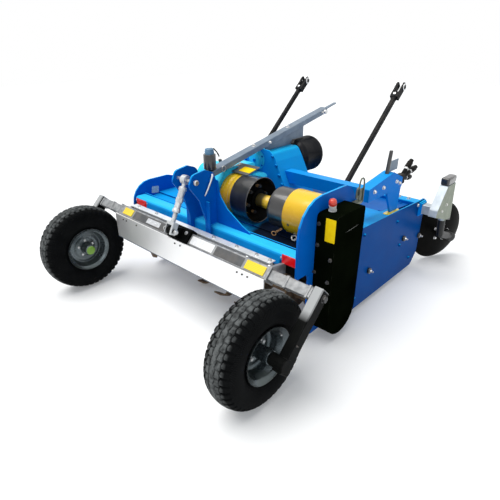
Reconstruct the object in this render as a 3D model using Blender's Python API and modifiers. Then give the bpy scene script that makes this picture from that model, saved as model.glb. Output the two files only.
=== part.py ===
"""Mounted bed-forming seedbed cultivator: hoe rotor, chain drive, levelling board, wheels and discs.

Metres, +Z up, +X to the machine's right, +Y forward to the tractor. The machine is laid out from
the ground under the wheels' axle line, and moved at the end so that the origin is on the ground at
the middle of its footprint.
"""
from math import atan2, cos, hypot, pi, radians, sin

import bmesh
import bpy
from mathutils import Matrix, Vector

GAP = 0.0003
RUNNING = 0.0006

# Rear wheels, size 5.00-8 on deep dished rims.
TYRE_DIAMETER = 0.470
TYRE_WIDTH = 0.135
RIM_DIAMETER = 0.237
RIM_FACE = 0.063
WHEEL_TRACK = 1.324
TREAD_BLOCKS = 20
TREAD_DEPTH = 0.007
HUB_DIAMETER = 0.058
AXLE_DIAMETER = 0.030

# Main frame between the two side plates.
BED_WIDTH = 1.180
PLATE = 0.010
TUBE_DEPTH = 0.072
TUBE_REAR = 0.320
TUBE_BOTTOM = 0.400
NOTCH_TOP = 0.438
NOTCH_WIDTH = 0.090
SKID_HEIGHT = 0.030
PLATE_REAR = 0.312
RIGHT_PLATE_TOP = 0.712
LEFT_PLATE_TOP = 0.545

# Hoe rotor under the hood.
ROTOR_Y = 0.490
ROTOR_TIP = 0.206
ROTOR_CLEARANCE = 0.006
ROTOR_TUBE = 0.090
ROTOR_FLANGES = 6
HOES_PER_FLANGE = 4
FLANGE_DIAMETER = 0.200
FLANGE_THICKNESS = 0.010
HOE_THICKNESS = 0.008
HOE_WIDTH = 0.048
HOE_BEND = 0.034
HOE_REACH = 0.078
HOOD_CLEARANCE = 0.026
HOOD_SHEET = 0.005

# Chain drive, 5/8 inch roller chain, in the case on the right plate.
CHAIN_PITCH = 0.015875
LINK_DEPTH = 0.0096
LINK_PLATE = 0.0026
ROLLER_HALF = 0.0032
TOOTH_TIP = 0.0025
CHAIN_NARROW = 0.0056
CHAIN_WIDE = 0.0068
DRIVE_TEETH = 20
DRIVEN_TEETH = 12
CHAIN_LINKS = 62
CASE_REAR = 0.432
CASE_DEPTH = 0.226
CASE_WIDTH = 0.095
CASE_WALL = 0.004
CASE_BOTTOM = 0.035
CASE_TOP = 0.645
CROSS_Y = 0.545
CROSS_SHAFT = 0.035

# Guards over the cross shaft.
GUARD_DIAMETER = 0.205
GUARD_WALL = 0.003
CONE_MOUTH = 0.220
CONE_START = 0.079
CONE_END = 0.195
NECK_START = 0.175
NECK_END = 0.345
SHELL_START = 0.305
SHELL_END = 0.420
RIGHT_GUARD_START = 0.405

# Main gearbox and PTO input.
INPUT_Z = 0.665
GEARBOX_REAR = 0.760
GEARBOX_FRONT = 1.010
GEARBOX_BASE = 0.360
GEARBOX_CROWN = 0.170
GEARBOX_TOP = 0.745
BELL_DIAMETER = 0.203
BELL_GAP = 0.016
BELL_DEPTH = 0.174
BELL_START = GEARBOX_FRONT + BELL_GAP
BELL_END = BELL_START + BELL_DEPTH
SPLINE_DIAMETER = 0.035
CAP_X = -0.027
CAP_Z = 0.700
TRANSFER_LEFT = -0.190
TRANSFER_RIGHT = 0.000

# Rear beam, a square tube standing on its corner.
BEAM_Y = 0.213
BEAM_Z = 0.418
BEAM_SIZE = 0.060
BEAM_WALL = 0.006
BEAM_INSET = 0.040
BEAM_LENGTH = BED_WIDTH - 2 * BEAM_INSET
CARRIER_SIZE = 0.0465
ARM_CLEARANCE = 0.0265
CARRIER_END = WHEEL_TRACK / 2 + TYRE_WIDTH / 2 + ARM_CLEARANCE
CARRIER_OVERLAP = 0.240
ARM_WIDTH = 0.042
ARM_DEPTH = 0.060
PIVOT_Y = 0.345
PIVOT_Z = 0.402
PIVOT_PIN = 0.020

# Levelling board under the beam.
BOARD_INSET = 0.002
BOARD_WIDTH = BEAM_LENGTH - 2 * BOARD_INSET
BOARD_BOTTOM = 0.283
BOARD_SHEET = 0.005
BOARD_LIP = 0.030

# Tower and adjusting stay.
TOWER_GAP = 0.110
TOWER_PLATE = 0.010
STAY_TOP_Y = 0.237
STAY_TOP_Z = 0.705
STAY_FOOT_Y = 0.130
STAY_FOOT_Z = 0.487
STAY_TUBE = 0.030
STAY_ROD = 0.020
STAY_PIN = 0.016

# Front end: side panels, cross tube, carriers and discs.
PANEL_STANDOFF = 0.050
PANEL_OUTER = BED_WIDTH / 2 + PANEL_STANDOFF
PANEL_SHEET = 0.008
PANEL_REAR = 0.700
PANEL_FRONT = 1.500
PANEL_KNEE = 1.160
PANEL_TOP_REAR = 0.485
PANEL_TOP_FRONT = 0.4635
PANEL_FLANGE = 0.060
FLANGE_REAR = 0.785
FRONT_Y = 1.450
FRONT_Z = 0.400
FRONT_TUBE = 0.070
FRONT_WALL = 0.007
FRONT_BAR = 0.0545
FRONT_BAR_REACH = 0.095
FRONT_BAR_END = PANEL_OUTER + FRONT_BAR_REACH
FRONT_OVERLAP = 0.220
POST_WIDTH = 0.045
POST_TOPS = {"left": 0.465, "right": 0.565}
POST_CAP = 0.043
DISC_DIAMETER = 0.380
DISC_SHEET = 0.005
DISC_DISH = 0.036
DISC_STANDOFF = 0.060
DISC_X = PANEL_OUTER + DISC_STANDOFF
DISC_Y = 1.685
DISC_TOE = 25.0
DISC_ARM = 0.075
DISC_AXLE = 0.030

# Three point hitch.
HITCH_X = 0.345
HITCH_BASE_Y = 0.985
HITCH_BASE_Z = 0.478
HITCH_HEAD_Y = 1.590
HITCH_HEAD_Z = 1.035
HITCH_BAR = 0.026
LINK_REAR_Y = 0.330
LINK_FRONT_Y = 1.330
LINK_SLOPE = 0.2106
LINK_TOP_Z = 0.752
LINK_WIDTH = 0.050
LINK_HEIGHT = 0.030
LINK_SHEET = 0.004
LINK_BOLT = 0.016
HITCH_PIN = 0.022
DOCUMENT_Y = 0.390
DOCUMENT_RADIUS = 0.030

# Deck and the support rail on its right.
DECK_Z = 0.4555
DECK_SHEET = 0.006
DECK_FRONT = 1.100
DECK_FOLD = 0.060
RAIL_BOTTOM = 0.590
RAIL_TOP = 0.652
RAIL_FRONT = 1.170
RAIL_SET_IN = 0.018
RAIL_X = PANEL_OUTER - RAIL_SET_IN

for old in list(bpy.data.objects):
    bpy.data.objects.remove(old, do_unlink=True)


def new_collection(name):
    collection = bpy.data.collections.new(name)
    bpy.context.scene.collection.children.link(collection)
    return collection


PARTS = new_collection("seedbed_cultivator")
CUTTERS = new_collection("cutters")


def paint(name, colour, roughness, metallic=0.0):
    material = bpy.data.materials.new(name)
    material.use_nodes = True
    shader = material.node_tree.nodes["Principled BSDF"]
    shader.inputs["Base Color"].default_value = (*colour, 1.0)
    shader.inputs["Roughness"].default_value = roughness
    shader.inputs["Metallic"].default_value = metallic
    material.diffuse_color = (*colour, 1.0)
    return material


BLUE = paint("blue_enamel", (0.01, 0.20, 0.72), 0.32)
BLACK = paint("black_enamel", (0.02, 0.02, 0.02), 0.40)
ZINC = paint("galvanised_steel", (0.62, 0.64, 0.66), 0.45, 0.9)
STAINLESS = paint("stainless_sheet", (0.80, 0.82, 0.84), 0.18, 1.0)
YELLOW = paint("yellow_plastic", (0.80, 0.52, 0.05), 0.35)
BLACK_PLASTIC = paint("black_plastic", (0.025, 0.025, 0.028), 0.45)
RUBBER = paint("tyre_rubber", (0.015, 0.015, 0.016), 0.80)
SILVER = paint("silver_rim", (0.55, 0.56, 0.54), 0.40, 0.8)
STEEL = paint("bright_steel", (0.60, 0.60, 0.60), 0.30, 1.0)
WORN = paint("worn_steel", (0.16, 0.12, 0.08), 0.55, 0.6)
RED = paint("red_plastic", (0.75, 0.06, 0.03), 0.35)


def adopt(obj, name, material, collection=None):
    """Name an object, give it one material and move it to its collection."""
    obj.name = name
    obj.data.name = name
    obj.data.materials.clear()
    if material:
        obj.data.materials.append(material)
    for old_home in list(obj.users_collection):
        old_home.objects.unlink(obj)
    (collection or PARTS).objects.link(obj)
    return obj


def as_cutter(obj):
    """Move a helper solid to the cutters, where it is not part of the model."""
    for old_home in list(obj.users_collection):
        old_home.objects.unlink(obj)
    CUTTERS.objects.link(obj)
    obj.hide_render = True
    obj.display_type = "WIRE"
    return obj


def bevel(obj, width, segments=2, angle=40):
    modifier = obj.modifiers.new("bevel", "BEVEL")
    modifier.width = width
    modifier.segments = segments
    modifier.limit_method = "ANGLE"
    modifier.angle_limit = radians(angle)
    return obj


def box(name, xs, ys, zs, material, edge=0.0, segments=1):
    """A box between two corners, with rounded edges if an edge radius is given."""
    bpy.ops.mesh.primitive_cube_add(size=1.0)
    obj = adopt(bpy.context.object, name, material)
    centre = Vector((sum(xs) / 2, sum(ys) / 2, sum(zs) / 2))
    size = Vector((xs[1] - xs[0], ys[1] - ys[0], zs[1] - zs[0]))
    obj.data.transform(Matrix.Diagonal((*size, 1.0)))
    obj.location = centre
    if edge:
        bevel(obj, edge, segments)
    return obj


def turn_to(axis):
    return Vector((0, 0, 1)).rotation_difference(Vector(axis)).to_matrix().to_4x4()


def rod(name, start, end, radius, material, sides=16):
    """A plain round bar between two points."""
    start = Vector(start)
    end = Vector(end)
    bpy.ops.mesh.primitive_cylinder_add(vertices=sides, radius=radius, depth=(end - start).length)
    obj = adopt(bpy.context.object, name, material)
    obj.matrix_world = Matrix.Translation((start + end) / 2) @ turn_to(end - start)
    return obj


def turned(name, profile, centre, axis, material, steps=24):
    """A solid of revolution. The profile runs down its outer side as (radius, height) pairs."""
    mesh = bpy.data.meshes.new(name)
    closed = profile[0][0] > 0 and profile[-1][0] > 0
    count = len(profile)
    edges = [(i, (i + 1) % count) for i in range(count if closed else count - 1)]
    mesh.from_pydata([(r, 0.0, h) for r, h in profile], edges, [])
    obj = bpy.data.objects.new(name, mesh)
    PARTS.objects.link(obj)
    adopt(obj, name, material)
    screw = obj.modifiers.new("turn", "SCREW")
    screw.steps = steps
    screw.render_steps = steps
    screw.use_merge_vertices = True
    screw.merge_threshold = 0.00005
    obj.matrix_world = Matrix.Translation(Vector(centre)) @ turn_to(axis)
    return obj


def rounded(corners, segments=3):
    """Corner points as (u, v, radius), turned into an outline with arcs at the corners."""
    outline = []
    count = len(corners)
    for i, (u, v, radius) in enumerate(corners):
        here = Vector((u, v))
        if radius <= 0:
            outline.append(here)
            continue
        back = (Vector(corners[i - 1][:2]) - here).normalized()
        ahead = (Vector(corners[(i + 1) % count][:2]) - here).normalized()
        half = back.angle(ahead) / 2
        reach = radius / max(sin(half) / cos(half), 1e-6)
        centre = here + (back + ahead).normalized() * (radius / sin(half))
        first = here + back * reach - centre
        last = here + ahead * reach - centre
        sweep = atan2(first.x * last.y - first.y * last.x, first.dot(last))
        for step in range(segments + 1):
            turn = Matrix.Rotation(sweep * step / segments, 2)
            outline.append(centre + turn @ first)
    return outline


PLANES = {
    "X": Matrix(((0, 0, 1, 0), (1, 0, 0, 0), (0, 1, 0, 0), (0, 0, 0, 1))),
    "Y": Matrix(((0, 1, 0, 0), (0, 0, 1, 0), (1, 0, 0, 0), (0, 0, 0, 1))),
    "Z": Matrix.Identity(4),
}


def plate(name, corners, plane, low, high, material, segments=3):
    """A flat piece: its outline lies across the given axis and is extruded from low to high.

    The outline is (Y, Z) across X, (Z, X) across Y and (X, Y) across Z.
    """
    curve = bpy.data.curves.new(name, "CURVE")
    curve.dimensions = "2D"
    curve.fill_mode = "BOTH"
    curve.extrude = (high - low) / 2
    outline = rounded(corners, segments)
    spline = curve.splines.new("POLY")
    spline.points.add(len(outline) - 1)
    for point, corner in zip(spline.points, outline):
        point.co = (corner[0], corner[1], 0.0, 1.0)
    spline.use_cyclic_u = True
    drawn = bpy.data.objects.new(name + "_outline", curve)
    PARTS.objects.link(drawn)
    bpy.context.view_layer.update()
    graph = bpy.context.evaluated_depsgraph_get()
    mesh = bpy.data.meshes.new_from_object(drawn.evaluated_get(graph))
    bpy.data.objects.remove(drawn, do_unlink=True)
    body = bmesh.new()
    body.from_mesh(mesh)
    bmesh.ops.remove_doubles(body, verts=body.verts, dist=0.00002)
    bmesh.ops.transform(body, matrix=PLANES[plane], verts=body.verts)
    bmesh.ops.recalc_face_normals(body, faces=body.faces)
    body.to_mesh(mesh)
    body.free()
    obj = bpy.data.objects.new(name, mesh)
    PARTS.objects.link(obj)
    adopt(obj, name, material)
    middle = (low + high) / 2
    obj.location = {"X": (middle, 0, 0), "Y": (0, middle, 0), "Z": (0, 0, middle)}[plane]
    return obj


def boolean(target, tool, operation):
    as_cutter(tool)
    modifier = target.modifiers.new(operation.lower(), "BOOLEAN")
    modifier.operation = operation
    modifier.solver = "EXACT"
    modifier.object = tool
    return target


def fuse(target, *tools):
    for tool in tools:
        boolean(target, tool, "UNION")
    return target


def cut(target, *tools):
    for tool in tools:
        boolean(target, tool, "DIFFERENCE")
    return target


def settle(obj):
    """Replace an object's modifiers by the mesh that they make."""
    bpy.context.view_layer.update()
    graph = bpy.context.evaluated_depsgraph_get()
    mesh = bpy.data.meshes.new_from_object(obj.evaluated_get(graph))
    obj.modifiers.clear()
    obj.data = mesh
    mesh.name = obj.name
    return obj


def rehang(obj, origin):
    """Move an object's origin to a point on its joint axis, leaving the shape where it is."""
    bpy.context.view_layer.update()
    shift = obj.matrix_world.inverted() @ Matrix.Translation(Vector(origin))
    obj.data.transform(shift.inverted())
    obj.matrix_world = Matrix.Translation(Vector(origin))
    return obj


def ring_profile(outer, inner, low, high):
    """The section of a plain ring or sleeve, running down its outer side."""
    return [(outer, high), (outer, low), (inner, low), (inner, high)]


SIDES = (("left", -1), ("right", 1))
HALF_BED = BED_WIDTH / 2
ROTOR_Z = ROTOR_TIP + ROTOR_CLEARANCE
STUB = 0.035
AXLE_Z = TYRE_DIAMETER / 2
GEARBOX_FOOT = DECK_Z + GAP
TUBE_TOP = TUBE_BOTTOM + TUBE_DEPTH
TUBE_FRONT = TUBE_REAR + TUBE_DEPTH


# Chain length, which sets the height of the cross shaft

def pitch_radius(teeth):
    return CHAIN_PITCH / (2 * sin(pi / teeth))


def chain_lean(distance):
    """Half the angle between the chain's two straight runs."""
    return atan2(pitch_radius(DRIVE_TEETH) - pitch_radius(DRIVEN_TEETH), distance)


def links_for(distance):
    """Links on one run, on the small wrap and on the large wrap."""
    lean = chain_lean(distance)
    run = distance * cos(lean) / CHAIN_PITCH
    small = DRIVEN_TEETH * (pi - 2 * lean) / (2 * pi)
    large = DRIVE_TEETH * (pi + 2 * lean) / (2 * pi)
    return run, small, large


def centre_distance():
    """The distance between the shafts at which a whole number of links fits."""
    distance = 0.36
    for _ in range(40):
        run, small, large = links_for(distance)
        distance += (CHAIN_LINKS - 2 * run - small - large) * CHAIN_PITCH / 2
    return distance


SHAFT_DISTANCE = centre_distance()
CROSS_Z = ROTOR_Z + (SHAFT_DISTANCE ** 2 - (CROSS_Y - ROTOR_Y) ** 2) ** 0.5
DOWN = atan2(ROTOR_Z - CROSS_Z, ROTOR_Y - CROSS_Y)


# Side plates and frame tube

def side_plate(side, sign, top, crown, nose):
    """A side plate: square heel behind, domed top, skid edge below."""
    heel = PIVOT_Z - 0.028
    corners = [
        (PLATE_REAR, heel, 0.010),
        (0.400, heel, 0.030),
        (0.400, SKID_HEIGHT + 0.040, 0.0),
        (0.440, SKID_HEIGHT, 0.0),
        (PANEL_REAR + 0.075, SKID_HEIGHT, 0.012),
        (PANEL_REAR + 0.075, nose, 0.060),
        (crown + 0.100, top, 0.110),
        (PLATE_REAR, top, min(0.150, (top - heel) * 0.7)),
    ]
    inner = sign * HALF_BED
    outer = sign * (HALF_BED + PLATE)
    low, high = sorted((inner, outer))
    obj = plate("side_plate_" + side, corners, "X", low, high, BLUE, 5)
    reach = sign * (HALF_BED + PLATE + 0.01)
    start = sign * (HALF_BED - 0.01)
    cut(obj, rod("rotor_hole_" + side, (start, ROTOR_Y, ROTOR_Z), (reach, ROTOR_Y, ROTOR_Z),
                 STUB / 2 + RUNNING, None))
    return obj


side_plate("left", -1, LEFT_PLATE_TOP, 0.470, 0.470)
right_plate = side_plate("right", 1, RIGHT_PLATE_TOP, 0.600, 0.520)
cut(right_plate, rod("cross_shaft_hole", (HALF_BED - 0.01, CROSS_Y, CROSS_Z),
                     (HALF_BED + 0.03, CROSS_Y, CROSS_Z), CROSS_SHAFT / 2 + RUNNING, None))

frame_tube = box("frame_tube", (-HALF_BED + GAP, HALF_BED - GAP), (TUBE_REAR, TUBE_FRONT),
                 (TUBE_BOTTOM, TUBE_TOP), BLUE, 0.016, 3)
for side, sign in SIDES:
    notch_x = sorted((sign * (HALF_BED - NOTCH_WIDTH), sign * (HALF_BED + GAP)))
    cut(frame_tube, box("tube_notch_" + side, notch_x, (TUBE_REAR - GAP, TUBE_FRONT + GAP),
                        (TUBE_BOTTOM - GAP, NOTCH_TOP), None))


# Rotor hood

def arc_sheet(name, centre, radius, start, stop, half_width, sheet, material, steps=14):
    """A sheet bent to an arc about an axis along X, thickened outwards."""
    mesh = bpy.data.meshes.new(name)
    body = bmesh.new()
    bmesh.ops.create_grid(body, x_segments=1, y_segments=steps, size=0.5)
    for vertex in body.verts:
        angle = radians(start + (stop - start) * (vertex.co.y + 0.5))
        side = half_width * (1 if vertex.co.x > 0 else -1)
        vertex.co = (side, centre[0] + radius * cos(angle), centre[1] + radius * sin(angle))
    bmesh.ops.recalc_face_normals(body, faces=body.faces)
    body.to_mesh(mesh)
    body.free()
    obj = bpy.data.objects.new(name, mesh)
    PARTS.objects.link(obj)
    adopt(obj, name, material)
    solid = obj.modifiers.new("thickness", "SOLIDIFY")
    solid.thickness = sheet
    solid.offset = 0.0
    return obj


hood_radius = ROTOR_TIP + HOOD_CLEARANCE
arc_sheet("rotor_hood", (ROTOR_Y, ROTOR_Z), hood_radius, 22, 114, HALF_BED - GAP, HOOD_SHEET, BLUE)


# Hoe rotor

def hoe(name, x, side, angle, material):
    """One L shaped hoe: a leg on the flange, a bend, and a blade along the tip circle."""
    leg_root = 0.058
    leg_end = ROTOR_TIP - HOE_THICKNESS / 2 - HOE_BEND
    path = [(0.0, leg_root), (0.0, leg_end)]
    for step in range(1, 4):
        turn = radians(30 * step)
        path.append((HOE_BEND * (1 - cos(turn)), leg_end + HOE_BEND * sin(turn)))
    path.append((HOE_REACH, leg_end + HOE_BEND))
    mesh = bpy.data.meshes.new(name)
    body = bmesh.new()
    bmesh.ops.create_grid(body, x_segments=1, y_segments=len(path) - 1, size=0.5)
    for vertex in body.verts:
        row = round((vertex.co.y + 0.5) * (len(path) - 1))
        along, radius = path[row]
        lean = -0.10 * along / HOE_REACH
        across = HOE_WIDTH * (1 if vertex.co.x > 0 else -1) / 2 * (1.0 if row < 5 else 0.8)
        turn = angle + lean + across / max(radius, 0.10)
        vertex.co = (x + side * along, radius * cos(turn), radius * sin(turn))
    body.to_mesh(mesh)
    body.free()
    obj = bpy.data.objects.new(name, mesh)
    PARTS.objects.link(obj)
    adopt(obj, name, material)
    solid = obj.modifiers.new("thickness", "SOLIDIFY")
    solid.thickness = HOE_THICKNESS
    solid.offset = 0.0
    return settle(obj)


def join_meshes(name, pieces, material):
    """One object holding several separate closed bodies, used only as a Boolean tool."""
    body = bmesh.new()
    for piece in pieces:
        bpy.context.view_layer.update()
        mesh = piece.data.copy()
        mesh.transform(piece.matrix_world)
        body.from_mesh(mesh)
        bpy.data.objects.remove(piece, do_unlink=True)
        bpy.data.meshes.remove(mesh)
    bmesh.ops.recalc_face_normals(body, faces=body.faces)
    mesh = bpy.data.meshes.new(name)
    body.to_mesh(mesh)
    body.free()
    obj = bpy.data.objects.new(name, mesh)
    PARTS.objects.link(obj)
    return adopt(obj, name, material)


def hoe_rotor():
    """Tube, end stubs and flanges turned in one, with hoes on alternate faces of each flange."""
    half = HALF_BED - 0.014
    stub_right = HALF_BED + PLATE + 0.062
    stub_left = HALF_BED + PLATE
    profile = [(0.0, stub_right), (STUB / 2, stub_right), (STUB / 2, half), (ROTOR_TUBE / 2, half)]
    spacing = (2 * half - 2 * HOE_REACH - 0.03) / (ROTOR_FLANGES - 1)
    places = [half - HOE_REACH - 0.015 - spacing * i for i in range(ROTOR_FLANGES)]
    for x in places:
        profile += [(ROTOR_TUBE / 2, x + FLANGE_THICKNESS / 2),
                    (FLANGE_DIAMETER / 2, x + FLANGE_THICKNESS / 2),
                    (FLANGE_DIAMETER / 2, x - FLANGE_THICKNESS / 2),
                    (ROTOR_TUBE / 2, x - FLANGE_THICKNESS / 2)]
    profile += [(ROTOR_TUBE / 2, -half), (STUB / 2, -half), (STUB / 2, -stub_left), (0.0, -stub_left)]
    shaft = turned("hoe_rotor", profile, (0, ROTOR_Y, ROTOR_Z), (1, 0, 0), WORN, 14)
    hoes = []
    for number, x in enumerate(places):
        for count in range(HOES_PER_FLANGE):
            side = 1 if count % 2 else -1
            angle = 2 * pi * count / HOES_PER_FLANGE + radians(15) * number + radians(35)
            face = x + side * (FLANGE_THICKNESS / 2 + HOE_THICKNESS / 2 - 0.001)
            hoes.append(hoe("hoe", face, side, angle, WORN))
    group = join_meshes("hoes", hoes, WORN)
    group.location = (0, ROTOR_Y, ROTOR_Z)
    fuse(shaft, group)
    settle(shaft)
    return rehang(shaft, (0, ROTOR_Y, ROTOR_Z))


hoe_rotor()


# Chain case, sprockets and chain

CASE_X = HALF_BED + PLATE + GAP
CASE_MIDDLE = CASE_X + CASE_WIDTH * 0.52


def case_outline(inset):
    radius = CASE_DEPTH / 2 - inset
    low = CASE_BOTTOM + inset
    top = CASE_TOP - inset
    rear = CASE_REAR + inset
    front = CASE_REAR + CASE_DEPTH - inset
    return [(rear, low, radius - 0.0005), (front, low, radius - 0.0005),
            (front, top, 0.022), (rear, top, 0.022)]


chain_case = plate("chain_case", case_outline(0.0), "X", CASE_X, CASE_X + CASE_WIDTH, BLACK, 6)
bevel(chain_case, 0.006, 1, 60)
cut(chain_case, plate("case_hollow", case_outline(CASE_WALL), "X", CASE_X - 0.01,
                      CASE_X + CASE_WIDTH - CASE_WALL, None, 6))
PLUG_Y = CASE_REAR + 0.060
PLUG_X = CASE_X + 0.034
cut(chain_case, rod("plug_hole", (PLUG_X, PLUG_Y, CASE_TOP - 0.02), (PLUG_X, PLUG_Y, CASE_TOP + 0.01),
                    0.0085 + GAP, None, 16))
turned("filler_plug", [(0.0, 0.030), (0.010, 0.030), (0.014, 0.024), (0.014, 0.012), (0.017, 0.010),
                       (0.017, 0.0), (0.0085, 0.0), (0.0085, -0.016), (0.0, -0.016)],
       (PLUG_X, PLUG_Y, CASE_TOP + GAP), (0, 0, 1), RED, 16)


def pin_angle(link):
    """Which sprocket a pin sits on, and its angle there, or None on a straight run."""
    lean = chain_lean(SHAFT_DISTANCE)
    run, small, large = links_for(SHAFT_DISTANCE)
    front = DOWN + pi / 2 - lean
    if link < run:
        return None, front, link / run
    if link < run + small:
        return "small", front - (link - run) * 2 * pi / DRIVEN_TEETH, 0.0
    if link < 2 * run + small:
        return None, DOWN - pi / 2 + lean, (link - run - small) / run
    rear = DOWN - pi / 2 + lean
    return "large", rear - (link - 2 * run - small) * 2 * pi / DRIVE_TEETH, 1.0


def pin_point(link):
    """The (Y, Z) place of a chain pin."""
    where, angle, share = pin_angle(link)
    run, small, large = links_for(SHAFT_DISTANCE)
    upper = Vector((CROSS_Y, CROSS_Z))
    lower = Vector((ROTOR_Y, ROTOR_Z))
    spoke = Vector((cos(angle), sin(angle)))
    at_upper = upper + spoke * pitch_radius(DRIVE_TEETH)
    at_lower = lower + spoke * pitch_radius(DRIVEN_TEETH)
    if where == "small":
        return at_lower
    if where == "large":
        return at_upper
    if link < run:
        return at_upper.lerp(at_lower, share)
    return at_lower.lerp(at_upper, share)


def first_pin_on(wanted):
    for link in range(CHAIN_LINKS):
        where, angle, _ = pin_angle(link)
        if where == wanted:
            return angle
    return 0.0


def sprocket(name, teeth, y, z, bore, phase):
    """A sprocket: tapered teeth round a blank, with a hub and a bore."""
    root = pitch_radius(teeth) - LINK_DEPTH / 2 - 0.0010
    tip = pitch_radius(teeth) + TOOTH_TIP
    corners = []
    for tooth in range(teeth):
        middle = phase + 2 * pi * (tooth + 0.5) / teeth
        for share, radius in ((-0.17, root), (-0.06, tip), (0.06, tip), (0.17, root)):
            angle = middle + share * 2 * pi / teeth
            corners.append((radius * cos(angle), radius * sin(angle), 0.0))
    wheel = plate(name, corners, "X", -0.0042, 0.0042, STEEL)
    fuse(wheel, rod(name + "_hub", (-0.014, 0, 0), (0.014, 0, 0), bore + 0.0048, None, 14))
    cut(wheel, rod(name + "_bore", (-0.03, 0, 0), (0.03, 0, 0), bore + RUNNING, None, 20))
    settle(wheel)
    wheel.location = (CASE_MIDDLE, y, z)
    return wheel


sprocket("drive_sprocket", DRIVE_TEETH, CROSS_Y, CROSS_Z, CROSS_SHAFT / 2, first_pin_on("large"))
sprocket("driven_sprocket", DRIVEN_TEETH, ROTOR_Y, ROTOR_Z, STUB / 2, first_pin_on("small"))


def clears_teeth(place):
    """Whether a roller at this place stays clear of both sprockets as they turn."""
    return all((place - Vector(centre)).length > pitch_radius(teeth) + TOOTH_TIP + LINK_DEPTH / 2 + RUNNING
               for centre, teeth in (((CROSS_Y, CROSS_Z), DRIVE_TEETH), ((ROTOR_Y, ROTOR_Z), DRIVEN_TEETH)))


def chain_band():
    """The chain in one piece: plates on both sides, stepping in and out, joined by the rollers.

    The rollers next to the sprockets are left out, so that the teeth turn freely between the plates.
    """
    body = bmesh.new()
    stations = []
    rollers = []
    for number in range(CHAIN_LINKS):
        here = pin_point(number)
        rollers.append(clears_teeth(here))
        back = (here - pin_point(number - 1)).normalized()
        ahead = (pin_point((number + 1) % CHAIN_LINKS) - here).normalized()
        along = (back + ahead).normalized()
        up = Vector((-along.y, along.x)) * (LINK_DEPTH / 2)
        offsets = (CHAIN_NARROW, CHAIN_WIDE) if number % 2 else (CHAIN_WIDE, CHAIN_NARROW)
        for step, offset in ((-1, offsets[0]), (1, offsets[1])):
            place = here + along * (step * ROLLER_HALF)
            corners = []
            for side in (-1, 1):
                for x in (offset, offset + LINK_PLATE):
                    for height in (-1, 1):
                        point = place + up * height
                        corners.append(body.verts.new((CASE_MIDDLE + side * x, point.x, point.y)))
            stations.append(corners)
    count = len(stations)
    for number in range(count):
        here = stations[number]
        ahead = stations[(number + 1) % count]
        on_roller = number % 2 == 0 and rollers[number // 2]
        for first in (0, 4):
            for a, b in ((0, 1), (1, 3), (3, 2), (2, 0)):
                if on_roller and (a, b) == (0, 1):
                    continue
                body.faces.new((here[first + a], here[first + b], ahead[first + b], ahead[first + a]))
        if on_roller:
            for line in (here, ahead):
                body.faces.new((line[0], line[1], line[5], line[4]))
            for row in (0, 1):
                body.faces.new((here[row], ahead[row], ahead[4 + row], here[4 + row]))
    bmesh.ops.recalc_face_normals(body, faces=body.faces)
    mesh = bpy.data.meshes.new("drive_chain")
    body.to_mesh(mesh)
    body.free()
    obj = bpy.data.objects.new("drive_chain", mesh)
    PARTS.objects.link(obj)
    return adopt(obj, "drive_chain", WORN)


chain_band()


# Tower, adjusting stay and clamp

def tower_plate(side, sign):
    """One tower plate: it sits astride the frame tube and carries the stay's upper pin."""
    low, high = sorted((sign * TOWER_GAP / 2, sign * (TOWER_GAP / 2 + TOWER_PLATE)))
    corners = [
        (0.296, TUBE_BOTTOM + 0.004, 0.004), (TUBE_REAR - GAP, TUBE_BOTTOM + 0.004, 0.0),
        (TUBE_REAR - GAP, TUBE_TOP + GAP, 0.0), (TUBE_FRONT + GAP, TUBE_TOP + GAP, 0.0),
        (TUBE_FRONT + GAP, TUBE_TOP - 0.020, 0.0), (TUBE_FRONT + 0.060, TUBE_TOP - 0.020, 0.006),
        (0.405, 0.580, 0.050), (0.352, STAY_TOP_Z + 0.025, 0.030), (0.300, STAY_TOP_Z + 0.045, 0.020),
        (0.225, STAY_TOP_Z + 0.034, 0.025), (0.203, STAY_TOP_Z - 0.015, 0.020), (0.262, 0.610, 0.030),
        (0.296, 0.500, 0.030),
    ]
    obj = plate("tower_plate_" + side, corners, "X", low, high, BLUE, 2)
    flange_low, flange_high = sorted((high if sign > 0 else low, sign * (TOWER_GAP / 2 + 0.032)))
    fuse(obj, box("tower_flange", (flange_low - 0.001 * (sign > 0), flange_high + 0.001 * (sign < 0)),
                  (0.297, 0.305), (TUBE_BOTTOM + 0.006, 0.600), None, 0.002, 1))
    hole = rod("tower_hole", (low - 0.01, STAY_TOP_Y, STAY_TOP_Z), (high + 0.01, STAY_TOP_Y, STAY_TOP_Z),
               STAY_PIN / 2 + GAP, None)
    cut(obj, hole)
    return obj


for side, sign in SIDES:
    tower_plate(side, sign)

half_pin = TOWER_GAP / 2 + TOWER_PLATE + 0.004
tower_pin = turned("tower_pin", [(0.0, half_pin + 0.014), (0.010, half_pin + 0.014), (0.013, half_pin + 0.010),
                                 (0.013, half_pin), (STAY_PIN / 2, half_pin), (STAY_PIN / 2, -half_pin - 0.012),
                                 (0.0, -half_pin - 0.012)],
                   (0, STAY_TOP_Y, STAY_TOP_Z), (1, 0, 0), STEEL, 20)

deflector = plate("rear_deflector", [
    (TUBE_TOP + GAP, TOWER_GAP / 2 + TOWER_PLATE + GAP, 0.0), (TUBE_TOP + GAP, 0.300, 0.004),
    (0.500, 0.235, 0.030), (0.560, 0.135, 0.060), (0.620, 0.085, 0.060), (0.690, 0.075, 0.004),
    (0.690, TOWER_GAP / 2 + TOWER_PLATE + GAP, 0.0)],
    "Y", TUBE_FRONT - 0.026, TUBE_FRONT - 0.020, BLUE, 5)

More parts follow.
